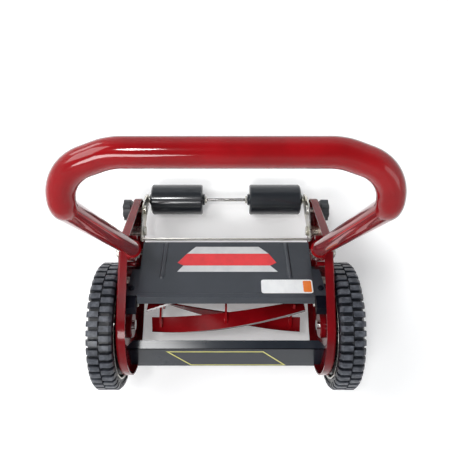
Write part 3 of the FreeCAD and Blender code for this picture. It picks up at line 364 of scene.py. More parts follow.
@dataclass(frozen=True)
class CastIron:
    """Oiled iron: grainy skin, wiped high spots."""

    name: str
    deep: Colour = (0.018, 0.017, 0.017)
    wiped: Colour = (0.12, 0.115, 0.11)

    def material(self) -> Material:
        """Build the oiled iron.

        Returns:
            The material.
        """
        graph = Graph(self.name)
        rounded, edge = graph.edges(0.3 * MM)
        grain = graph.noise(1400.0, detail=4.0)
        wipe = graph.plus(graph.times(edge, 0.8), graph.span(grain, 0.55, 0.8, 0.0, 0.4))
        return graph.shade(Metallic=0.6, Base_Color=graph.blend(wipe, self.deep, self.wiped),
                           Roughness=graph.span(graph.noise(60.0), 0.3, 0.7, 0.25, 0.55),
                           Normal=graph.bump(grain, 0.06 * MM, 0.4, rounded))


@dataclass(frozen=True)
class Rubber:
    """Moulded tread: lighter on top of its blocks, from dust and rubbing together with a painted
    highlight; its grooves keep the rubber's own dark colour.
    """

    name: str
    axle: Pair
    tread_radius: float
    deep: Colour = (0.008, 0.0096, 0.0145)
    # colour of the blocks' tops: dust together with a painted highlight
    dust_highlight_colour: Colour = (0.125, 0.136, 0.162)
    groove: float = 5.0 * MM  # how far in from the blocks' tops the dust and painted highlight start
    crown: float = 0.4 * MM   # and where it is full

    def material(self) -> Material:
        """Build the tread's material, with its dust, wear and painted highlight set by the distance
        from the axle.

        Returns:
            The material.
        """
        graph = Graph(self.name)
        rounded, edge = graph.edges(0.7 * MM)
        top = graph.span(graph.radius(*self.axle), self.tread_radius - self.groove,
                         self.tread_radius - self.crown)
        scuff = graph.span(graph.noise(120.0, detail=6.0, rough=0.65), 0.35, 0.7)
        # Dust and scuffs on the blocks' tops and edges, together with a painted highlight there.
        dust_and_highlight = graph.plus(graph.times(top, graph.plus(graph.times(scuff, 0.55), 0.2)),
                          graph.times(edge, 0.25))
        shine = graph.span(graph.noise(50.0, detail=4.0), 0.3, 0.7, 0.30, 0.46)
        return graph.shade(Specular_IOR_Level=0.45, Roughness=shine,
                           Base_Color=graph.blend(dust_and_highlight, self.deep, self.dust_highlight_colour),
                           Normal=graph.bump(graph.noise(1800.0), 0.05 * MM, 0.4, rounded))


@dataclass(frozen=True)
class Moulding:
    """Moulded plastic: fine spark-eroded skin, flow clouds and paler worn corners."""

    name: str
    deep: Colour
    bright: Colour
    rough: Pair = (0.3, 0.45)
    skin: float = 0.25  # how strongly its skin shows
    coat: float = 0.0   # weight of a clear coat
    gloss: float = 0.5  # strength of its own shine

    def material(self) -> Material:
        """Build the moulded plastic.

        Returns:
            The material.
        """
        graph = Graph(self.name)
        rounded, edge = graph.edges(0.5 * MM)
        flow = graph.noise(26.0, detail=4.0, where=graph.place(scale=(0.5, 1.0, 1.0)))
        colour = graph.blend(graph.span(flow, 0.3, 0.7), self.deep, self.bright)
        worn = tuple(part * 2.0 + 0.012 for part in self.bright)
        skin = graph.noise(2200.0, detail=2.0)
        graph.shade(Coat_Weight=self.coat, Coat_Roughness=0.08, Specular_IOR_Level=self.gloss)
        return graph.shade(Base_Color=graph.blend(graph.times(edge, 0.5), colour, worn),
                           Roughness=graph.span(flow, 0.25, 0.75, *self.rough),
                           Normal=graph.bump(skin, 0.03 * MM, self.skin, rounded))


@dataclass(frozen=True)
class PrintedFilm:
    """Printed vinyl: flat ink with a faint press grain under a clear gloss film."""

    name: str
    ink: Colour
    faded: Colour

    def material(self) -> Material:
        """Build the printed film.

        Returns:
            The material.
        """
        graph = Graph(self.name)
        patches = graph.span(graph.noise(75.0, detail=5.0, rough=0.6), 0.35, 0.75)
        wave = graph.noise(130.0, detail=2.0)
        graph.shade(Coat_Weight=0.5, Coat_Roughness=0.12)
        return graph.shade(Base_Color=graph.blend(patches, self.ink, self.faded),
                           Roughness=graph.span(wave, 0.3, 0.7, 0.28, 0.42),
                           Normal=graph.bump(wave, 0.02 * MM, 0.3))


class Slot(Enum):
    """The record's material slots."""

    RED_ENAMEL = "red_enamel"
    CHARCOAL = "charcoal_paint"
    BLACK_PAINT = "black_paint"
    ZINC = "zinc"
    STEEL = "steel"
    GEAR_IRON = "gear_iron"
    BRONZE = "bronze"
    TYRE = "tyre_black"
    WHEEL = "wheel_black"
    KNOB = "knob_grey"


# ---------------------------------------------------------------- skins

def unit(vector: Points) -> Points:
    """The same direction, or directions, at length 1."""
    return vector / np.linalg.norm(vector, axis=-1, keepdims=True)


def around(count: int) -> Points:
    """Angles of a full turn, the last one short of the first."""
    return np.arange(count) * (2 * math.pi / count)


@dataclass(frozen=True)
class Stand:
    """Where a small part stands: a foot, the way it points, and two directions across it."""

    foot: Points
    along: Points
    across: Points
    beside: Points

    @classmethod
    def at(cls, foot: Sequence[float], along: Sequence[float],
           across: Optional[Sequence[float]] = None) -> "Stand":
        """Complete the directions from the one the part points in.

        Args:
            foot: Centre of the part's seat.
            along: Direction that the part points in.
            across: A direction square to it; without one, any is taken.

        Returns:
            The stand, with unit directions square to each other.
        """
        way = unit(np.asarray(along, float))
        side = unit(np.cross(way, (0.3, 0.5, 0.8)) if across is None
                    else np.asarray(across, float))
        return cls(np.asarray(foot, float), way, side, np.cross(way, side))

    def place(self, height: Points, x: Points, y: Points) -> Points:
        """Points at a height above the foot, and x and y across it."""
        parts = [np.asarray(v, float)[..., None] for v in np.broadcast_arrays(height, x, y)]
        return self.foot + parts[0] * self.along + parts[1] * self.across + parts[2] * self.beside

    def circle(self, height: Points, radius: Points, angle: Points) -> Points:
        """Points at a height, a radius and an angle about the stand's axis."""
        return self.place(height, radius * np.cos(angle), radius * np.sin(angle))


@dataclass(frozen=True)
class Shell:
    """One closed skin: rings of points in order, joined ring to ring.

    The first and last rings are closed by flat caps, or joined to each other if it wraps.
    """

    rings: Points
    wrap: bool = False

    def faces(self, start: int) -> list[list[int]]:
        """Join the points into faces that look outward.

        Args:
            start: Number of the skin's first point.

        Returns:
            Four-sided faces from ring to ring, then the two caps where it is open.
        """
        count, size = self.rings.shape[:2]
        index = np.arange(count * size).reshape(count, size)
        here = index if self.wrap else index[:-1]
        there = np.roll(index, -1, 0) if self.wrap else index[1:]
        quads = np.stack([here, np.roll(here, -1, 1), np.roll(there, -1, 1), there], -1)
        quads = quads.reshape(-1, 4)
        caps = [] if self.wrap else [index[0][::-1], index[-1]]
        fans = [quads[:, :3], quads[:, [0, 2, 3]]]
        fans += [np.stack([np.full(size - 2, cap[0]), cap[1:-1], cap[2:]], -1) for cap in caps]
        way = -1 if self.volume(np.concatenate(fans)) < 0 else 1
        return ((quads[:, ::way] + start).tolist()
                + [(cap[::way] + start).tolist() for cap in caps])

    def volume(self, triangles: Points) -> float:
        """Signed volume within the skin: a sixth of the sum of a . (b x c) over its triangles.

        Args:
            triangles: Three point numbers for each.

        Returns:
            The volume, below 0 where the triangles look inward.
        """
        flat = self.rings.reshape(-1, 3)
        a, b, c = (flat - flat.mean(0))[triangles].transpose(1, 0, 2)
        return float((a * np.cross(b, c)).sum() / 6)


def turned(stand: Stand, profile: Outline, count: int = 32) -> Shell:
    """A profile turned about the stand's axis.

    Every pair of the profile gives a circle of its radius at its height.

    Args:
        stand: Where it stands.
        profile: Pairs of height and radius.
        count: Points round it.

    Returns:
        The skin.
    """
    height, radius = np.array(profile).T[..., None]
    return Shell(stand.circle(height, radius, around(count)))


def ring(stand: Stand, inner: float, outer: float, height: float, count: int = 40) -> Shell:
    """A flat ring with softened outer edges: its section carried round the axis.

    Args:
        stand: Where it stands.
        inner: Radius of its hole.
        outer: Radius of its rim.
        height: How high it stands; its outer edges are cut by a fifth of that.
        count: Sections round it.

    Returns:
        The skin.
    """
    soft = 0.2 * height
    high = np.array([0.0, 0.0, soft, height - soft, height, height])
    radius = np.array([inner, outer - soft, outer, outer, outer - soft, inner])
    return Shell(stand.circle(high, radius, around(count)[:, None]), wrap=True)


def hex_head(stand: Stand, flats: float, height: float, bore: float = 0.0) -> Shell:
    """A hexagon whose corners are cut by a cone.

    The radius at an angle is half the flats over the cosine of the angle from the nearest
    flat, and near each end no more than the cone's.

    Args:
        stand: Where it stands.
        flats: Width across the flats.
        height: How high it stands.
        bore: Radius of its hole, or 0 for none.

    Returns:
        The skin.
    """
    angle = around(24)
    corner = flats / 2 / np.cos((angle + math.pi / 6) % (math.pi / 3) - math.pi / 6)
    share = np.array([0.0, 0.14, 0.86, 1.0])[:, None]
    cone = np.array([0.49, 0.56, 0.56, 0.49])[:, None]
    radius = np.minimum(corner, flats * cone)
    if bore:
        share = np.concatenate([share, [[1.0], [0.0]]])
        radius = np.concatenate([radius, np.full((2, angle.size), bore)])
    return Shell(stand.circle(share * height, radius, angle), wrap=bool(bore))


def cross_screw(stand: Stand, radius: float, height: float) -> Shell:
    """A round screw head with a cross recess.

    At a share u of its radius the dome stands height * sqrt(1 - (0.96 u)^2), less a recess two
    fifths as deep wherever the point lies within the cross's arms.

    Args:
        stand: Where it stands.
        radius: Radius of the head.
        height: How high the dome stands.

    Returns:
        The skin.
    """
    angle = around(32)
    share = np.array([1.0, 0.94, 0.8, 0.66, 0.56, 0.46, 0.3, 0.16, 0.04])[:, None]
    x, y = share * np.cos(angle), share * np.sin(angle)
    within = (np.minimum(np.abs(x), np.abs(y)) < 0.13) & (share < 0.6)
    dome = height * np.sqrt(1.0 - (0.96 * share) ** 2)
    seat = stand.circle(np.zeros((1, angle.size)), radius, angle)
    crown = stand.place(dome - 0.4 * height * within, radius * x, radius * y)
    return Shell(np.concatenate([seat, crown]))


def film(stand: Stand, outline: Points, thick: float) -> Shell:
    """A thin film: an outline across the stand, carried up to its full thickness.

    From half its thickness up it draws in towards its middle, by half its thickness.

    Args:
        stand: Where it lies.
        outline: Points of x and y across the stand.
        thick: Its thickness.

    Returns:
        The skin.
    """
    middle = outline.mean(0)
    drawn = outline - 0.5 * thick * unit(outline - middle)
    flat = np.stack([outline, outline, drawn])
    high = np.array([0.0, 0.5 * thick, thick])[:, None]
    return Shell(stand.place(high, flat[..., 0], flat[..., 1]))


def rounded(corners: Outline, radius: float, steps: int = 6) -> Points:
    """A convex outline with its corners rounded by arcs, each a curve between two tangents.

    Args:
        corners: The outline's corners in order.
        radius: How far from a corner its curve starts.
        steps: Points on each curve.

    Returns:
        The points (1-t)^2 * start + 2 t (1-t) * corner + t^2 * end for each corner.
    """
    spots = np.array(corners, float)
    start = (spots + radius * unit(np.roll(spots, 1, 0) - spots))[:, None]
    end = (spots + radius * unit(np.roll(spots, -1, 0) - spots))[:, None]
    t = np.linspace(0, 1, steps)[None, :, None]
    curve = (1 - t) ** 2 * start + 2 * t * (1 - t) * spots[:, None] + t ** 2 * end
    return curve.reshape(-1, 2)


def frame_line(stand: Stand, corners: Points, width: float, thick: float) -> Shell:
    """A line of even width round a convex outline: its section carried round the corners.

    At a corner the line's inner edge lies width / cosine inward, along the line that halves
    the corner, where the cosine is that of half the turn.

    Args:
        stand: Where it lies.
        corners: The outline's corners in order.
        width: The line's width.
        thick: Its thickness.

    Returns:
        The skin.
    """
    ahead = unit(np.roll(corners, -1, 0) - corners)
    inward = unit(ahead - np.roll(ahead, 1, 0))
    cosine = np.abs(inward[:, 0] * ahead[:, 1] - inward[:, 1] * ahead[:, 0])[:, None]
    inner = corners + inward * width / cosine
    flat = np.stack([corners, corners, inner, inner], 1)
    return Shell(stand.place(np.array([0.0, thick, thick, 0.0]), flat[..., 0], flat[..., 1]),
                 wrap=True)


def weld(start: Points, end: Points, up: Points, size: float) -> Shell:
    """A rippled bead between two points: a round section that swells and shrinks.

    At a share s of the way the section's radius is size * (4 s (1 - s)) ^ 0.35, and a tenth
    of it rises and falls with the weld's ripples.

    Args:
        start: Where the bead starts.
        end: Where it ends.
        up: A direction away from the surface that it lies on.
        size: Its greatest radius, without the ripples.

    Returns:
        The skin.
    """
    share = np.linspace(0.02, 0.98, 13)[:, None]
    radius = size * (4 * share * (1 - share)) ** 0.35 * (1 + 0.1 * np.cos(share * 12 * math.pi))
    way = end - start
    stand = Stand.at(start, way, np.cross(unit(way), up))
    return Shell(stand.circle(share * np.linalg.norm(way), radius, around(8)))


def bent_line(corners: Points, radii: Sequence[float], steps: int = 12) -> Points:
    """A line through corners in space, each inner corner turned as a circular arc.

    An arc starts radius * tan(turn / 2) ahead of its corner.  At an angle f along it the point
    is start + radius * (sin f * way in + (1 - cos f) * way across).

    Args:
        corners: The line's two ends, with the corners between them.
        radii: Radius at each of those corners, small enough that no two arcs meet.
        steps: Points on each arc.

    Returns:
        The line's points.
    """
    parts = [corners[:1]]
    for before, corner, after, radius in zip(corners, corners[1:], corners[2:], radii):
        way_in, way_out = unit(corner - before), unit(after - corner)
        turn = math.acos(way_in @ way_out)
        across = (way_out - way_in * math.cos(turn)) / math.sin(turn)
        start = corner - way_in * radius * math.tan(turn / 2)
        angle = np.linspace(0.0, turn, steps)[:, None]
        parts.append(start + radius * (np.sin(angle) * way_in + (1 - np.cos(angle)) * across))
    return np.concatenate(parts + [corners[-1:]])


def bent_tube(line: Points, radius: Points, aside: Sequence[float], count: int = 40) -> Shell:
    """A round section carried along a line: a circle square to the line at each of its points.

    Args:
        line: The tube's middle line.
        radius: Its radius at each point.
        aside: A direction that the line never runs along, from which the section is laid out.
        count: Points round the section.

    Returns:
        The skin.
    """
    way = unit(np.gradient(line, axis=0))
    side = unit(np.cross(aside, way))
    angle = around(count)[None, :, None]
    reach = np.cos(angle) * side[:, None] + np.sin(angle) * np.cross(way, side)[:, None]
    return Shell(line[:, None] + radius[:, None, None] * reach)


def link(name: str, data: bpy.types.ID) -> bpy.types.Object:
    """Put an object into the scene, at the origin.

    Args:
        name: The object's name.
        data: The mesh, lamp or camera that it holds.

    Returns:
        The object.
    """
    thing = bpy.data.objects.new(name, data)
    bpy.context.scene.collection.objects.link(thing)
    return thing


def mesh_object(name: str, points: Points, faces: list[list[int]], finish: Material
                ) -> bpy.types.Object:
    """Make a smooth mesh and put it into the scene.

    Args:
        name: Name of the mesh and its object.
        points: One row for each point.
        faces: The point numbers of each face.
        finish: Its material.

    Returns:
        The object.
    """
    mesh = bpy.data.meshes.new(name)
    mesh.from_pydata(points.tolist(), [], faces)
    mesh.shade_smooth()
    mesh.materials.append(finish)
    return link(name, mesh)


@dataclass(frozen=True)
class Piece:
    """A fine piece: closed skins, a finish, the body it rides on and the slot it belongs to."""

    name: str
    shells: Sequence[Shell]
    finish: Material
    body: str = "chassis"
    slot: Optional[Slot] = None
    stands_for: tuple[str, ...] = ()
    sharp: float = math.radians(34.0)  # edges that turn more than this stay sharp

    def make(self) -> None:
        """Build the piece's mesh with outward faces and hang it on its body."""
        faces, count = [], 0
        for shell in self.shells:
            faces += shell.faces(count)
            count += shell.rings.size // 3
        points = np.concatenate([shell.rings.reshape(-1, 3) for shell in self.shells])
        piece = mesh_object(self.name, points, faces, self.finish)
        piece.data.set_sharp_from_angle(angle=self.sharp)
        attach(piece, self.body)
        if self.stands_for:
            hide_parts(*self.stands_for)
        LOG.info("made %s: %d skins, %d faces, on %s", self.name, len(self.shells), len(faces),
                 self.body)


# ---------------------------------------------------------------- the frame

@dataclass(frozen=True)
class Layout:
    """Places that the pieces share: the y and z of each axis, and two radii."""

    axle: Pair
    reel: Pair
    fold: Pair
    swing: Pair
    knob: Pair
    rod: Pair
    tread_radius: float
    reel_radius: float

    @classmethod
    def read(cls, joints: Sequence[dict]) -> "Layout":
        """Take the axes from the record's joints and the radii from the solids' boxes.

        Args:
            joints: The frame's joints.

        Returns:
            The layout.
        """
        axis = {joint["name"]: tuple(joint["pos_m"][1:]) for joint in joints}
        low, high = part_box("tyre_left")
        reel = axis["reel_spin"]
        return cls(axle=axis["wheel_left_spin"], reel=reel, fold=axis["handle_fold"],
                   swing=axis["height_adjust"], knob=axis["knob_left_turn"],
                   rod=axis["roller_left_spin"], tread_radius=(high.z - low.z) / 2,
                   reel_radius=reel[0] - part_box("reel_blade_1")[0].y)


def middle(node: str) -> Pair:
    """The y and z of the middle of a solid's box."""
    low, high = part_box(node)
    return (low.y + high.y) / 2, (low.z + high.z) / 2


class Palette:
    """Every finish of the mower, built once: one for each slot, and those of single pieces."""

    def __init__(self, layout: Layout) -> None:
        """Build the materials.

        Args:
            layout: The axes and radii that some finishes are measured from.
        """
        by_slot = {
            Slot.RED_ENAMEL: Enamel("red_enamel_gloss", (0.225, 0.0022, 0.0044),
                                    (0.315, 0.0034, 0.0066), (0.30, 0.03, 0.03)),
            Slot.CHARCOAL: SatinPaint("charcoal_satin", (0.023, 0.028, 0.037),
                                      (0.034, 0.040, 0.051), (0.34, 0.46), (0.3, 0.25)),
            Slot.BLACK_PAINT: SatinPaint("black_satin", (0.012, 0.012, 0.013),
                                         (0.022, 0.022, 0.024)),
            Slot.ZINC: PlatedSteel("zinc_plate", (0.66, 0.66, 0.64), (0.70, 0.66, 0.54)),
            Slot.STEEL: PlatedSteel("drawn_steel", (0.60, 0.60, 0.61), (0.66, 0.64, 0.60),
                                    (0.16, 0.3), (0.15, 3.0, 3.0)),
            Slot.GEAR_IRON: CastIron("oiled_iron"),
            Slot.BRONZE: PlatedSteel("sintered_bronze", (0.36, 0.22, 0.09), (0.48, 0.30, 0.13),
                                     (0.35, 0.55)),
            Slot.TYRE: Rubber("tread_rubber", layout.axle, layout.tread_radius),
            Slot.WHEEL: Moulding("wheel_moulding", (0.010, 0.011, 0.014), (0.017, 0.018, 0.022),
                                 (0.22, 0.34), skin=0.15, coat=0.35),
            Slot.KNOB: Moulding("knob_moulding", (0.030, 0.032, 0.036), (0.050, 0.053, 0.058),
                                (0.38, 0.5)),
        }
        self.by_slot = {slot: finish.material() for slot, finish in by_slot.items()}
        self.red, self.charcoal, self.zinc, self.wheel, self.knob = (
            self.by_slot[slot] for slot in (Slot.RED_ENAMEL, Slot.CHARCOAL, Slot.ZINC, Slot.WHEEL,
                                            Slot.KNOB))
        self.frame = Enamel("frame_enamel", (0.120, 0.0020, 0.0045), (0.190, 0.0032, 0.0062),
                            (0.16, 0.03, 0.03), coat=(0.6, 0.10)).material()
        self.blade = Enamel("blade_enamel", (0.165, 0.0022, 0.0045), (0.235, 0.0032, 0.0062),
                            (0.16, 0.03, 0.03), coat=(0.05, 0.35),
                            ground=(*layout.reel, layout.reel_radius - 0.4 * MM)).material()
        # The bar's paint, with a painted dark reflection line along its fold.
        self.bar = SatinPaint("bar_gloss", (0.011, 0.015, 0.022), (0.017, 0.022, 0.031),
                              (0.20, 0.28), coat=(1.0, 0.14), gloss=0.12,
                              fold_y=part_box("front_bar")[0].y + BAR_LEDGE).material()
        self.roller = Moulding("roller_moulding", (0.006, 0.008, 0.012), (0.011, 0.014, 0.019),
                               (0.30, 0.42), skin=0.1, coat=0.75, gloss=0.35).material()
        self.strip = PlatedSteel("strip_plate", (0.86, 0.86, 0.83), (0.88, 0.86, 0.78),
                                 (0.42, 0.55)).material()
        self.block = Moulding("block_moulding", (0.0028, 0.0033, 0.0075),
                              (0.0045, 0.0052, 0.0105), (0.4, 0.5), skin=0.2,
                              gloss=0.1).material()
        self.white, self.scarlet, self.orange, self.notice, self.yellow = (
            PrintedFilm(name, ink, faded).material() for name, ink, faded in (
                ("white_film", (0.62, 0.63, 0.63), (0.54, 0.55, 0.56)),
                ("scarlet_film", (0.76, 0.032, 0.038), (0.66, 0.026, 0.032)),
                ("orange_film", (0.84, 0.20, 0.018), (0.74, 0.17, 0.016)),
                ("notice_film", (0.84, 0.86, 0.86), (0.76, 0.78, 0.79)),
                ("yellow_line", (0.74, 0.70, 0.15), (0.64, 0.60, 0.12))))


class Dresser:
    """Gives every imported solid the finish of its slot, or one of its own."""

    def __init__(self, frame: dict, palette: Palette) -> None:
        """Remember the frame's solids, and choose each one's finish.

        Args:
            frame: The loaded frame.
            palette: The finishes.
        """
        self.solids: dict[str, bpy.types.Object] = frame["nodes"]
        self.finishes = {row["node"]: palette.by_slot[Slot(row["material_slot"])]
                         for row in frame["record"]["subparts"]}
        blades = [name for name in self.solids if name.startswith("reel_blade")]
        for finish, names in (
                (palette.bar, ["front_bar"]), (palette.strip, ["cross_strip"]),
                (palette.block, ["cover_block_left", "cover_block_right"]),
                (palette.roller, ["roller_left", "roller_right"]), (palette.blade, blades),
                (palette.frame, ["side_frame_left", "side_frame_right", "axle_bosses",
                                 "handle_stops"])):
            self.finishes.update(dict.fromkeys(names, finish))

    def dress(self) -> None:
        """Put its material on every solid."""
        for name, solid in self.solids.items():
            for place in solid.material_slots:
                place.material = self.finishes[name]
            LOG.info("dressed %s in %s", name, self.finishes[name].name)


# ---------------------------------------------------------------- fine pieces

@dataclass(frozen=True)
class CoverDressing:
    """The cover's blank label, blank notice, pressed beads, folded edge and cross-head screws.

    Outlines are pairs in millimetres: across the cover, and down its slope.
    """

    palette: Palette
    front: Spot = (0.0, -26.975 * MM, 148.6 * MM)
    slope: float = math.radians(30.4)
    upper_band: Outline = ((-42.5, 82.7), (46.1, 82.7), (59.5, 71.0), (-54.2, 71.0))
    middle_band: Outline = ((-54.4, 70.8), (59.6, 70.8), (69.5, 55.8), (60.8, 51.2),
                            (-58.8, 51.2), (-66.7, 55.8))
    lower_band: Outline = ((-58.6, 51.0), (60.6, 51.0), (70.5, 40.9), (-66.6, 40.9))
    notice: Outline = ((46.9, 28.2), (115.4, 28.2), (115.4, 7.2), (46.9, 7.2))
    notice_end: Outline = ((102.6, 26.4), (113.8, 26.4), (113.8, 9.0), (102.6, 9.0))
    bead_x: float = 85.0 * MM
    bead_height: float = 3.0 * MM
    bead_half: float = 3.3 * MM
    bead_sunk: float = 0.05 * MM
    bead_down: Pair = (30.0 * MM, 90.0 * MM)
    bead_out: Pair = (1.6 * MM, -1.0 * MM)  # further out at its upper end, and at its lower
    hem_half: float = 116.4 * MM
    hem_section: Outline = ((0.2, 0.0), (0.7, 0.75), (3.5, 0.95), (6.2, 0.75), (6.9, 0.0),
                            (6.9, -0.1), (0.2, -0.1))
    screw_x: float = 125.8 * MM
    screw_down: float = 16.0 * MM
    screw_sunk: float = 1.3 * MM
    screw_size: Pair = (4.0 * MM, 2.45 * MM)

    def stand(self, x: float = 0.0, down: float = 0.0, height: float = 0.0) -> Stand:
        """A stand on the cover.

        Args:
            x: How far across it.
            down: How far down its slope.
            height: How far above it.

        Returns:
            The stand, which points away from the cover.
        """
        sine, cosine = math.sin(self.slope), math.cos(self.slope)
        foot = np.array(self.front) + (x, down * cosine + height * sine,
                                       height * cosine - down * sine)
        return Stand.at(foot, (0.0, sine, cosine), RIGHT)

    def band(self, corners: Outline, soft: float = 0.0, height: float = -0.04,
             thick: float = 0.16) -> Shell:
        """A film laid on the cover.

        Args:
            corners: Its outline, in millimetres as all of these are.
            soft: How far from a corner its rounding starts.
            height: Where its underside lies above the cover.
            thick: Its thickness.

        Returns:
            The skin.
        """
        outline = rounded(corners, soft) if soft else np.array(corners)
        return film(self.stand(height=height * MM), outline * MM, thick * MM)

    def bead(self, side: float) -> Shell:
        """A pressed bead: a half ellipse carried down the slope, low at both ends.

        At a share s of its length the crest stands its height * (1 - |2s - 1|^14) high, and
        the ends are a quarter narrower than the middle.

        Args:
            side: -1 for the left bead, 1 for the right one.

        Returns:
            The skin.
        """
        share = np.linspace(0.0, 1.0, 41)[:, None]
        angle = np.linspace(0.0, math.pi, 13)
        swell = np.clip(1.0 - np.abs(2 * share - 1) ** 14, 0.02, None)
        half = self.bead_half * (0.75 + 0.25 * swell)
        upper, lower = self.bead_out
        middle_x = side * (self.bead_x + upper + (lower - upper) * share)
        x = middle_x + half * np.cos(angle)
        height = self.bead_height * swell * np.sin(angle) - self.bead_sunk
        start, end = self.bead_down
        return Shell(self.stand().place(height, x, start + (end - start) * share))

    def hem(self) -> Shell:
        """The folded front edge: its section carried straight across the cover.

        Returns:
            The skin.
        """
        down, high = np.array(self.hem_section).T * MM
        x = np.linspace(-self.hem_half, self.hem_half, 24)[:, None]
        return Shell(self.stand().place(high, x, down))

    def pieces(self) -> list[Piece]:
        """Make everything that rides on the cover.

        Returns:
            The pieces.
        """
        colours = self.palette
        screws = [cross_screw(self.stand(side * self.screw_x, self.screw_down, -self.screw_sunk),
                              *self.screw_size) for side, _ in SIDES]
        return [
            Piece("cover_label_white", [self.band(self.upper_band), self.band(self.lower_band)],
                  colours.white),
            Piece("cover_label_red", [self.band(self.middle_band)], colours.scarlet),
            Piece("cover_notice", [self.band(self.notice, soft=3.5)], colours.notice),
            Piece("cover_notice_end", [self.band(self.notice_end, 2.0, 0.08, 0.1)],
                  colours.orange),
            Piece("cover_beads", [self.bead(side) for side, _ in SIDES], colours.charcoal,
                  slot=Slot.CHARCOAL),
            Piece("cover_hem", [self.hem()], colours.charcoal, slot=Slot.CHARCOAL),
            Piece("cover_cross_screws", screws, colours.block, slot=Slot.ZINC,
                  stands_for=("cover_screws",)),
        ]


@dataclass(frozen=True)
class BarDressing:
    """The painted line round the bare field on the front bar, and the bar's folded foot.

    The field and the section are pairs in millimetres: the field's across the slanted face and
    up from its fold, the section's down past the face's foot and out from the face.
    """

    palette: Palette
    field: Outline = ((-84.3, -6.4), (52.6, -6.4), (87.2, -45.2), (-51.2, -45.2))
    line_width: float = 1.9 * MM
    line_thick: float = 0.16 * MM
    line_sunk: float = 0.03 * MM
    plate: float = 2.0 * MM
    hem_half: float = 137.0 * MM
    hem_section: Outline = ((-2.4, 0.02), (6.0, 0.02), (6.6, -0.7), (6.0, -1.45), (-2.4, -1.45))

    def pieces(self) -> list[Piece]:
        """Make one even yellow line round a slanting field, and the folded foot.

        The foot is its section carried straight along the bar.

        Returns:
            The pieces.
        """
        low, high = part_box("front_bar")
        fold = np.array((0.0, low.y + BAR_LEDGE, high.z - self.plate))
        slant = np.array((0.0, low.y, low.z)) - fold
        outward = np.cross(unit(slant), RIGHT)
        outward *= -np.sign(outward[1])
        stand = Stand.at(fold - outward * self.line_sunk, outward, RIGHT)
        line = frame_line(stand, np.array(self.field) * MM, self.line_width, self.line_thick)
        down, out = np.array(self.hem_section).T * MM
        x = np.linspace(-self.hem_half, self.hem_half, 24)[:, None]
        hem = Shell(stand.place(out, x, -np.linalg.norm(slant) - down))
        return [Piece("bar_line", [line], self.palette.yellow),
                Piece("bar_hem", [hem], self.palette.bar, slot=Slot.CHARCOAL)]


@dataclass(frozen=True)
class Bolting:
    """Hexagon heads and nuts with their washers, on both sides of the mower."""

    palette: Palette
    name: str
    spots: Sequence[Pair]  # y and z of each
    seat: float            # distance of the seat from the middle
    flats: float           # width across the flats
    height: float
    body: str = "chassis"
    outward: bool = True   # whether the heads point away from the middle
    washer: float = 0.0    # the washer's radius, or 0 for none
    washer_thick: float = 1.0 * MM
    overlap: float = 0.02 * MM
    bore: float = 0.0      # radius of the bolt that comes through a nut, or 0 for a head

    def stand(self, side: float, spot: Pair, lift: float) -> Stand:
        """A stand on one side of the mower, lifted off the seat.

        Args:
            side: -1 for the left, 1 for the right.
            spot: The head's y and z.
            lift: How far above the seat it is.

        Returns:
            The stand, with one flat of the hexagon facing 53 degrees from straight up.
        """
        way = side if self.outward else -side
        return Stand.at((side * self.seat + way * lift, *spot), (way, 0.0, 0.0), (0.0, 0.8, 0.6))

    def pieces(self) -> list[Piece]:
        """Make one piece that holds every head and washer.

        Returns:
            The piece, in a list.
        """
        lift = self.washer_thick - self.overlap if self.washer else 0.0
        shells = []
        for side, _ in SIDES:
            for spot in self.spots:
                if self.washer:
                    shells.append(ring(self.stand(side, spot, 0.0), self.bore or 0.3 * self.flats,
                                       self.washer, self.washer_thick))
                shells.append(hex_head(self.stand(side, spot, lift), self.flats, self.height,
                                       self.bore))
        return [Piece(self.name, shells, self.palette.zinc, self.body, Slot.ZINC)]


@dataclass(frozen=True)
class Welds:
    """Fillet welds that hold the blades on the spiders' arms."""

    palette: Palette
    reel: Pair
    stations: tuple[float, ...] = (-93.0 * MM, 0.0, 93.0 * MM)
    blades: int = 5
    length: float = 214.0 * MM            # of the reel
    twist: float = math.radians(72.0)     # of a blade over that length
    half_wall: float = 1.75 * MM          # from an arm's middle to a weld's
    reach: Pair = (36.5 * MM, 47.0 * MM)  # radii that a weld runs between
    rake: float = 0.3274
    rake_start: float = 34.0 * MM
    sunk: float = 1.5 * MM
    size: float = 1.3 * MM

    def pieces(self) -> list[Piece]:
        """Make two beads on each of the fifteen arms.

        The angle of blade n at x is half a turn, and n fifths of a turn, less the twist *
        (x / length + 1/2).  At a radius r a bead lies rake * (r - rake_start) - sunk beside
        that direction, which follows the blade's back face.

        Returns:
            The piece, in a list.
        """
        shells = []
        for x in self.stations:
            for number in range(self.blades):
                turn = (math.pi + number * 2 * math.pi / self.blades
                        - self.twist * (x / self.length + 0.5))
                out = np.array([0.0, math.cos(turn), math.sin(turn)])
                beside = np.array([0.0, -math.sin(turn), math.cos(turn)])
                for side, _ in SIDES:
                    hub = np.array([x + side * self.half_wall, *self.reel])
                    start, end = (hub + out * r
                                  + beside * (self.rake * (r - self.rake_start) - self.sunk)
                                  for r in self.reach)
                    shells.append(weld(start, end, beside, self.size))
        return [Piece("reel_welds", shells, self.palette.red, "reel", Slot.RED_ENAMEL)]


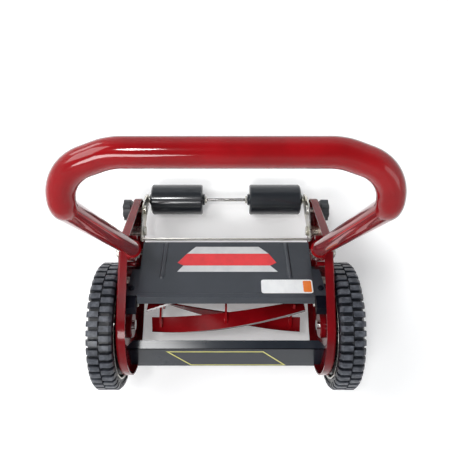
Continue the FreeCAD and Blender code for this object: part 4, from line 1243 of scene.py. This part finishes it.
@dataclass(frozen=True)
class HandleTube:
    """The handle's bent tube: tight elbows, swept corners, and legs thinner than the grip.

    It stands for the plain loop and keeps to that loop's box.
    """

    palette: Palette
    legs_y: float
    grip_radius: float = 11.05 * MM
    leg_radius: float = 9.6 * MM
    foot_sunk: float = 0.4 * MM      # how far a leg runs down into its foot
    lean: float = 4.5 * MM           # how far back a leg's top stands
    grip_rise: float = 25.0 * MM     # from the elbows up to the grip
    elbow: float = 11.0 * MM
    sweep_start: float = 0.66        # share of the way from elbow to grip where a corner starts
    sweep_end: float = 38.0 * MM     # how far in along the grip it ends
    sweep: Pair = (31.0 * MM, 46.5 * MM)  # radii of its two bends
    swell: Pair = (34.0 * MM, 8.0 * MM)   # depths below the grip between which the tube swells
    aside: Spot = (0.0, 27.0, -37.0)      # square to the rising part of the tube

    def pieces(self) -> list[Piece]:
        """Make one tube from foot to foot.

        Its radius is the legs', and at a share s of the height between the two ends of the
        swelling it is s^1.5 of the way from the legs' to the grip's.

        Returns:
            The piece, in a list.
        """
        low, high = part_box("handle_loop")
        half, back, top = (edge - self.grip_radius for edge in high)
        foot = np.array((half, self.legs_y, low.z - self.foot_sunk))
        bend = np.array((half, self.legs_y + self.lean, top - self.grip_rise))
        grip = np.array((half, back, top))
        right = [foot, bend, bend + self.sweep_start * (grip - bend),
                 grip - (self.sweep_end, 0.0, 0.0)]
        corners = np.array(right + [spot * (-1, 1, 1) for spot in reversed(right)])
        radii = (self.elbow, *self.sweep)
        line = bent_line(corners, radii + radii[::-1])
        start, stop = self.swell
        share = np.clip((line[:, 2] - top + start) / (start - stop), 0.0, 1.0)
        radius = self.leg_radius + (self.grip_radius - self.leg_radius) * share ** 1.5
        return [Piece("handle_tube", [bent_tube(line, radius, self.aside)], self.palette.red,
                      "handle", Slot.RED_ENAMEL, ("handle_loop",))]


@dataclass(frozen=True)
class WheelDressing:
    """Raised rings round each wheel's rim and hub cap, and a steel ring on its inner face.

    Each ring is given by its inner and outer radius, its height and the sections round it.
    """

    palette: Palette
    axle: Pair
    inner_x: float = 143.45 * MM
    inner_ring: tuple[float, float, float, int] = (71.8 * MM, 73.4 * MM, 0.6 * MM, 96)
    rim_x: float = 174.3 * MM
    rim_ring: tuple[float, float, float, int] = (71.6 * MM, 73.8 * MM, 1.0 * MM, 96)
    cap_x: float = 174.55 * MM
    cap_ring: tuple[float, float, float, int] = (11.0 * MM, 12.6 * MM, 0.7 * MM, 64)

    def pieces(self) -> list[Piece]:
        """Make three rings for each wheel.

        Returns:
            The pieces.
        """
        colours = self.palette
        rings = (("inner_ring", -1, self.inner_x, self.inner_ring, colours.zinc, Slot.STEEL),
                 ("rim_ring", 1, self.rim_x, self.rim_ring, colours.wheel, Slot.WHEEL),
                 ("cap_ring", 1, self.cap_x, self.cap_ring, colours.knob, Slot.KNOB))
        return [Piece(f"{name}_{word}",
                      [ring(Stand.at((side * x, *self.axle), (side * way, 0, 0)), *sizes)],
                      finish, f"wheel_{word}", slot)
                for side, word in SIDES for name, way, x, sizes, finish, slot in rings]


@dataclass(frozen=True)
class RearDressing:
    """Washers and collars on the roller rod, and the knobs' set-in end discs."""

    palette: Palette
    rod: Pair
    knob: Pair
    rod_radius: float = 3.02 * MM
    washers: tuple[Sizes, ...] = (  # x of the inner face, outer radius and width
        (120.6 * MM, 7.0 * MM, 1.2 * MM), (122.2 * MM, 5.4 * MM, 1.6 * MM),
        (30.6 * MM, 6.2 * MM, 3.0 * MM))
    knob_x: float = 154.1 * MM
    disc: Outline = ((0.0, 6.2 * MM), (0.5 * MM, 6.2 * MM), (0.9 * MM, 5.6 * MM),
                     (0.9 * MM, 1.0 * MM))
    knob_ring: Sizes = (8.0 * MM, 9.0 * MM, 0.6 * MM)

    def pieces(self) -> list[Piece]:
        """Make the washers by each roller, and a disc and ring for each knob.

        Returns:
            The pieces.
        """
        washers = [ring(Stand.at((side * x, *self.rod), (side, 0, 0)), self.rod_radius, outer,
                        wide) for side, _ in SIDES for x, outer, wide in self.washers]
        made = [Piece("rod_washers", washers, self.palette.zinc, "roller_frame", Slot.ZINC)]
        for side, word in SIDES:
            end = Stand.at((side * self.knob_x, *self.knob), (side, 0, 0))
            made.append(Piece(f"knob_disc_{word}",
                              [turned(end, self.disc), ring(end, *self.knob_ring)],
                              self.palette.knob, f"height_knob_{word}", Slot.KNOB))
        return made


@dataclass(frozen=True)
class Fasteners:
    """The hexagons and washers of every bolt and nut that the solids draw plain."""

    palette: Palette
    layout: Layout
    plate: float = 140.02 * MM                   # just off the side frames' outer faces
    circle_radius: float = 19.5 * MM             # of the bolts round a reel bearing
    circle_angles: Sizes = (95.0, 215.0, 335.0)  # degrees

    def pieces(self) -> list[Piece]:
        """Make a piece for each kind of fastener.

        Returns:
            The pieces.
        """
        layout, plate = self.layout, self.plate
        turn = np.radians(self.circle_angles)
        circle = np.stack([layout.reel[0] + self.circle_radius * np.cos(turn),
                           layout.reel[1] + self.circle_radius * np.sin(turn)], -1).tolist()
        sets = [
            Bolting(self.palette, "housing_bolts", circle, seat=132.85 * MM, flats=6.4 * MM,
                    height=3.2 * MM, outward=False, washer=4.3 * MM),
            Bolting(self.palette, "tie_nuts_hex", [middle("tie_rod_nuts")], seat=140.0 * MM,
                    flats=16.3 * MM, height=4.6 * MM, bore=5.04 * MM),
            Bolting(self.palette, "carrier_heads", [middle("carrier_bolts")],
                    seat=139.95 * MM, flats=13.2 * MM, height=5.1 * MM),
            Bolting(self.palette, "pivot_nuts", [layout.fold], seat=plate, flats=12.6 * MM,
                    height=4.6 * MM, washer=7.6 * MM, bore=4.0 * MM),
            Bolting(self.palette, "swing_nuts", [layout.swing], seat=plate, flats=12.0 * MM,
                    height=3.6 * MM, washer=7.4 * MM, bore=4.0 * MM),
            Bolting(self.palette, "rod_nuts_hex", [layout.rod], seat=126.0 * MM,
                    flats=11.2 * MM, height=3.55 * MM, body="roller_frame", bore=3.02 * MM),
        ]
        return [piece for bolting in sets for piece in bolting.pieces()]


# ---------------------------------------------------------------- studio

@dataclass(frozen=True)
class Lamp:
    """A soft rectangular lamp that looks at a point."""

    name: str
    place: Spot
    target: Spot
    size: Pair
    power: float

    def hang(self) -> None:
        """Make the lamp."""
        data = bpy.data.lights.new(self.name, "AREA")
        data.shape = "RECTANGLE"
        data.size, data.size_y = self.size
        data.energy = self.power
        lamp = link(self.name, data)
        lamp.location = self.place
        aim = Vector(self.target) - Vector(self.place)
        lamp.rotation_euler = aim.to_track_quat("-Z", "Y").to_euler()


@dataclass(frozen=True)
class Studio:
    """Pale sweep, soft lamps and the camera."""

    lens: float = 40.0
    sensor: float = 36.0
    eye: Spot = (0.0, -0.0257, 0.8095)
    forward: Spot = (0.0, 0.1426, -0.9898)
    shift_x: float = -1.0 / 450.0
    clip: Pair = (0.02, 30.0)
    flat: float = 2.0                 # radius of the flat floor
    bend: float = 1.2                 # radius of its bend into the wall
    wall: float = 2.8                 # height of the wall
    paper: tuple[Colour, Colour] = ((0.88, 0.88, 0.88), (0.91, 0.91, 0.91))
    paper_light: float = 0.24         # the paper's own light, in view and in reflections only
    sky_colour: Colour = (0.93, 0.96, 1.0)
    sky_rise: Pair = (0.45, 0.95)     # heights of a direction between which the room dims
    sky_light: Pair = (0.62, 0.14)    # the room's light below and above
    lamps: tuple[Lamp, ...] = (
        Lamp("ceiling_box", (-1.25, 0.60, 1.8), (0.0, 0.0, 0.1), (1.0, 0.9), 14.0),
        Lamp("front_box", (-0.60, -0.85, 1.8), (0.0, -0.05, 0.1), (0.90, 0.40), 16.0),
        Lamp("back_box", (-1.60, 1.75, 1.15), (0.0, 0.0, 0.1), (0.9, 0.6), 8.0),
        Lamp("side_box", (1.5, -0.6, 1.3), (0.0, 0.0, 0.1), (0.7, 0.9), 3.5),
        Lamp("ceiling_strip", (-0.27, 0.12, 1.6), (-0.1, 0.0, 0.4), (0.16, 0.12), 4.0),
    )

    def camera(self) -> None:
        """Set up the camera."""
        data = bpy.data.cameras.new("camera")
        data.lens, data.sensor_width, data.shift_x = self.lens, self.sensor, self.shift_x
        data.clip_start, data.clip_end = self.clip
        camera = link("camera", data)
        camera.location = self.eye
        camera.rotation_mode = "QUATERNION"
        camera.rotation_quaternion = Vector(self.forward).to_track_quat("-Z", "Y")
        bpy.context.scene.camera = camera

    def paper_finish(self) -> Material:
        """Build matt paper with a faint tone, which shines only for what looks at it.

        Returns:
            The material.
        """
        graph = Graph("studio_paper")
        tone = graph.blend(graph.noise(3.0), *self.paper)
        camera, glossy, through = (graph.add("LightPath", {}, f"Is {kind} Ray")
                                   for kind in ("Camera", "Glossy", "Transmission"))
        seen = graph.step("MAXIMUM", camera, graph.step("MAXIMUM", glossy, through))
        graph.shade(Specular_IOR_Level=0.0, Emission_Color=(1.0, 1.0, 1.0))
        return graph.shade(
            Base_Color=tone, Emission_Strength=graph.times(seen, self.paper_light),
            Roughness=graph.span(graph.noise(900.0, detail=2.0), 0.3, 0.7, 0.8, 0.95))

    def floor(self) -> None:
        """A round floor that rises into a wall, all round the mower.

        Out to the flat radius the height is 0; then it follows a quarter circle, and above
        that the wall stands upright.
        """
        angle = np.linspace(0.0, math.pi / 2, 16)
        edge = self.flat + self.bend
        reach = np.concatenate([[0.001, 0.5, 1.0, 1.5], self.flat + self.bend * np.sin(angle),
                                [edge, edge]])
        height = np.concatenate([np.zeros(4), self.bend * (1.0 - np.cos(angle)),
                                 [2.0, self.wall]])
        turn = around(96)[:, None]
        spots = np.stack(np.broadcast_arrays(reach * np.cos(turn), reach * np.sin(turn), height),
                         -1)
        cells = np.arange(turn.size * reach.size).reshape(turn.size, reach.size)
        far = np.roll(cells, -1, 0)
        quads = np.stack([cells[:, :-1], cells[:, 1:], far[:, 1:], far[:, :-1]], -1)
        faces = quads.reshape(-1, 4).tolist() + [cells[:, 0].tolist()]
        mesh_object("studio_floor", spots.reshape(-1, 3), faces, self.paper_finish())

    def sky(self) -> None:
        """A plain room light: pale walls under a dim ceiling."""
        world = bpy.data.worlds.new("room")
        world.use_nodes = True
        tree = world.node_tree
        back = tree.nodes["Background"]
        back.inputs["Color"].default_value = (*self.sky_colour, 1.0)
        way = tree.nodes.new("ShaderNodeTexCoord").outputs["Generated"]
        parts = tree.nodes.new("ShaderNodeSeparateXYZ")
        rise = tree.nodes.new("ShaderNodeMapRange")
        rise.interpolation_type = "SMOOTHSTEP"
        for index, value in enumerate((*self.sky_rise, *self.sky_light), 1):
            rise.inputs[index].default_value = value
        tree.links.new(way, parts.inputs[0])
        tree.links.new(parts.outputs["Z"], rise.inputs[0])
        tree.links.new(rise.outputs[0], back.inputs["Strength"])
        bpy.context.scene.world = world

    def build(self) -> None:
        """Make the whole studio."""
        self.camera()
        self.floor()
        self.sky()
        for lamp in self.lamps:
            lamp.hang()
        bpy.context.scene.view_settings.view_transform = "Standard"


def corners(box: tuple[Vector, Vector]) -> list[list[float]]:
    """A box's two corners as plain lists."""
    return [list(corner) for corner in box]


def main() -> None:
    """Load the solids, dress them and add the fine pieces."""
    logging.basicConfig(level=logging.INFO, format="%(message)s")
    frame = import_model()
    layout = Layout.read(frame["joints"])
    palette = Palette(layout)
    Studio().build()
    Dresser(frame, palette).dress()
    for part in (CoverDressing(palette), BarDressing(palette), Fasteners(palette, layout),
                 Welds(palette, layout.reel), HandleTube(palette, layout.fold[0]),
                 WheelDressing(palette, layout.axle),
                 RearDressing(palette, layout.rod, layout.knob)):
        for piece in part.pieces():
            piece.make()


if __name__ == "__main__":
    main()
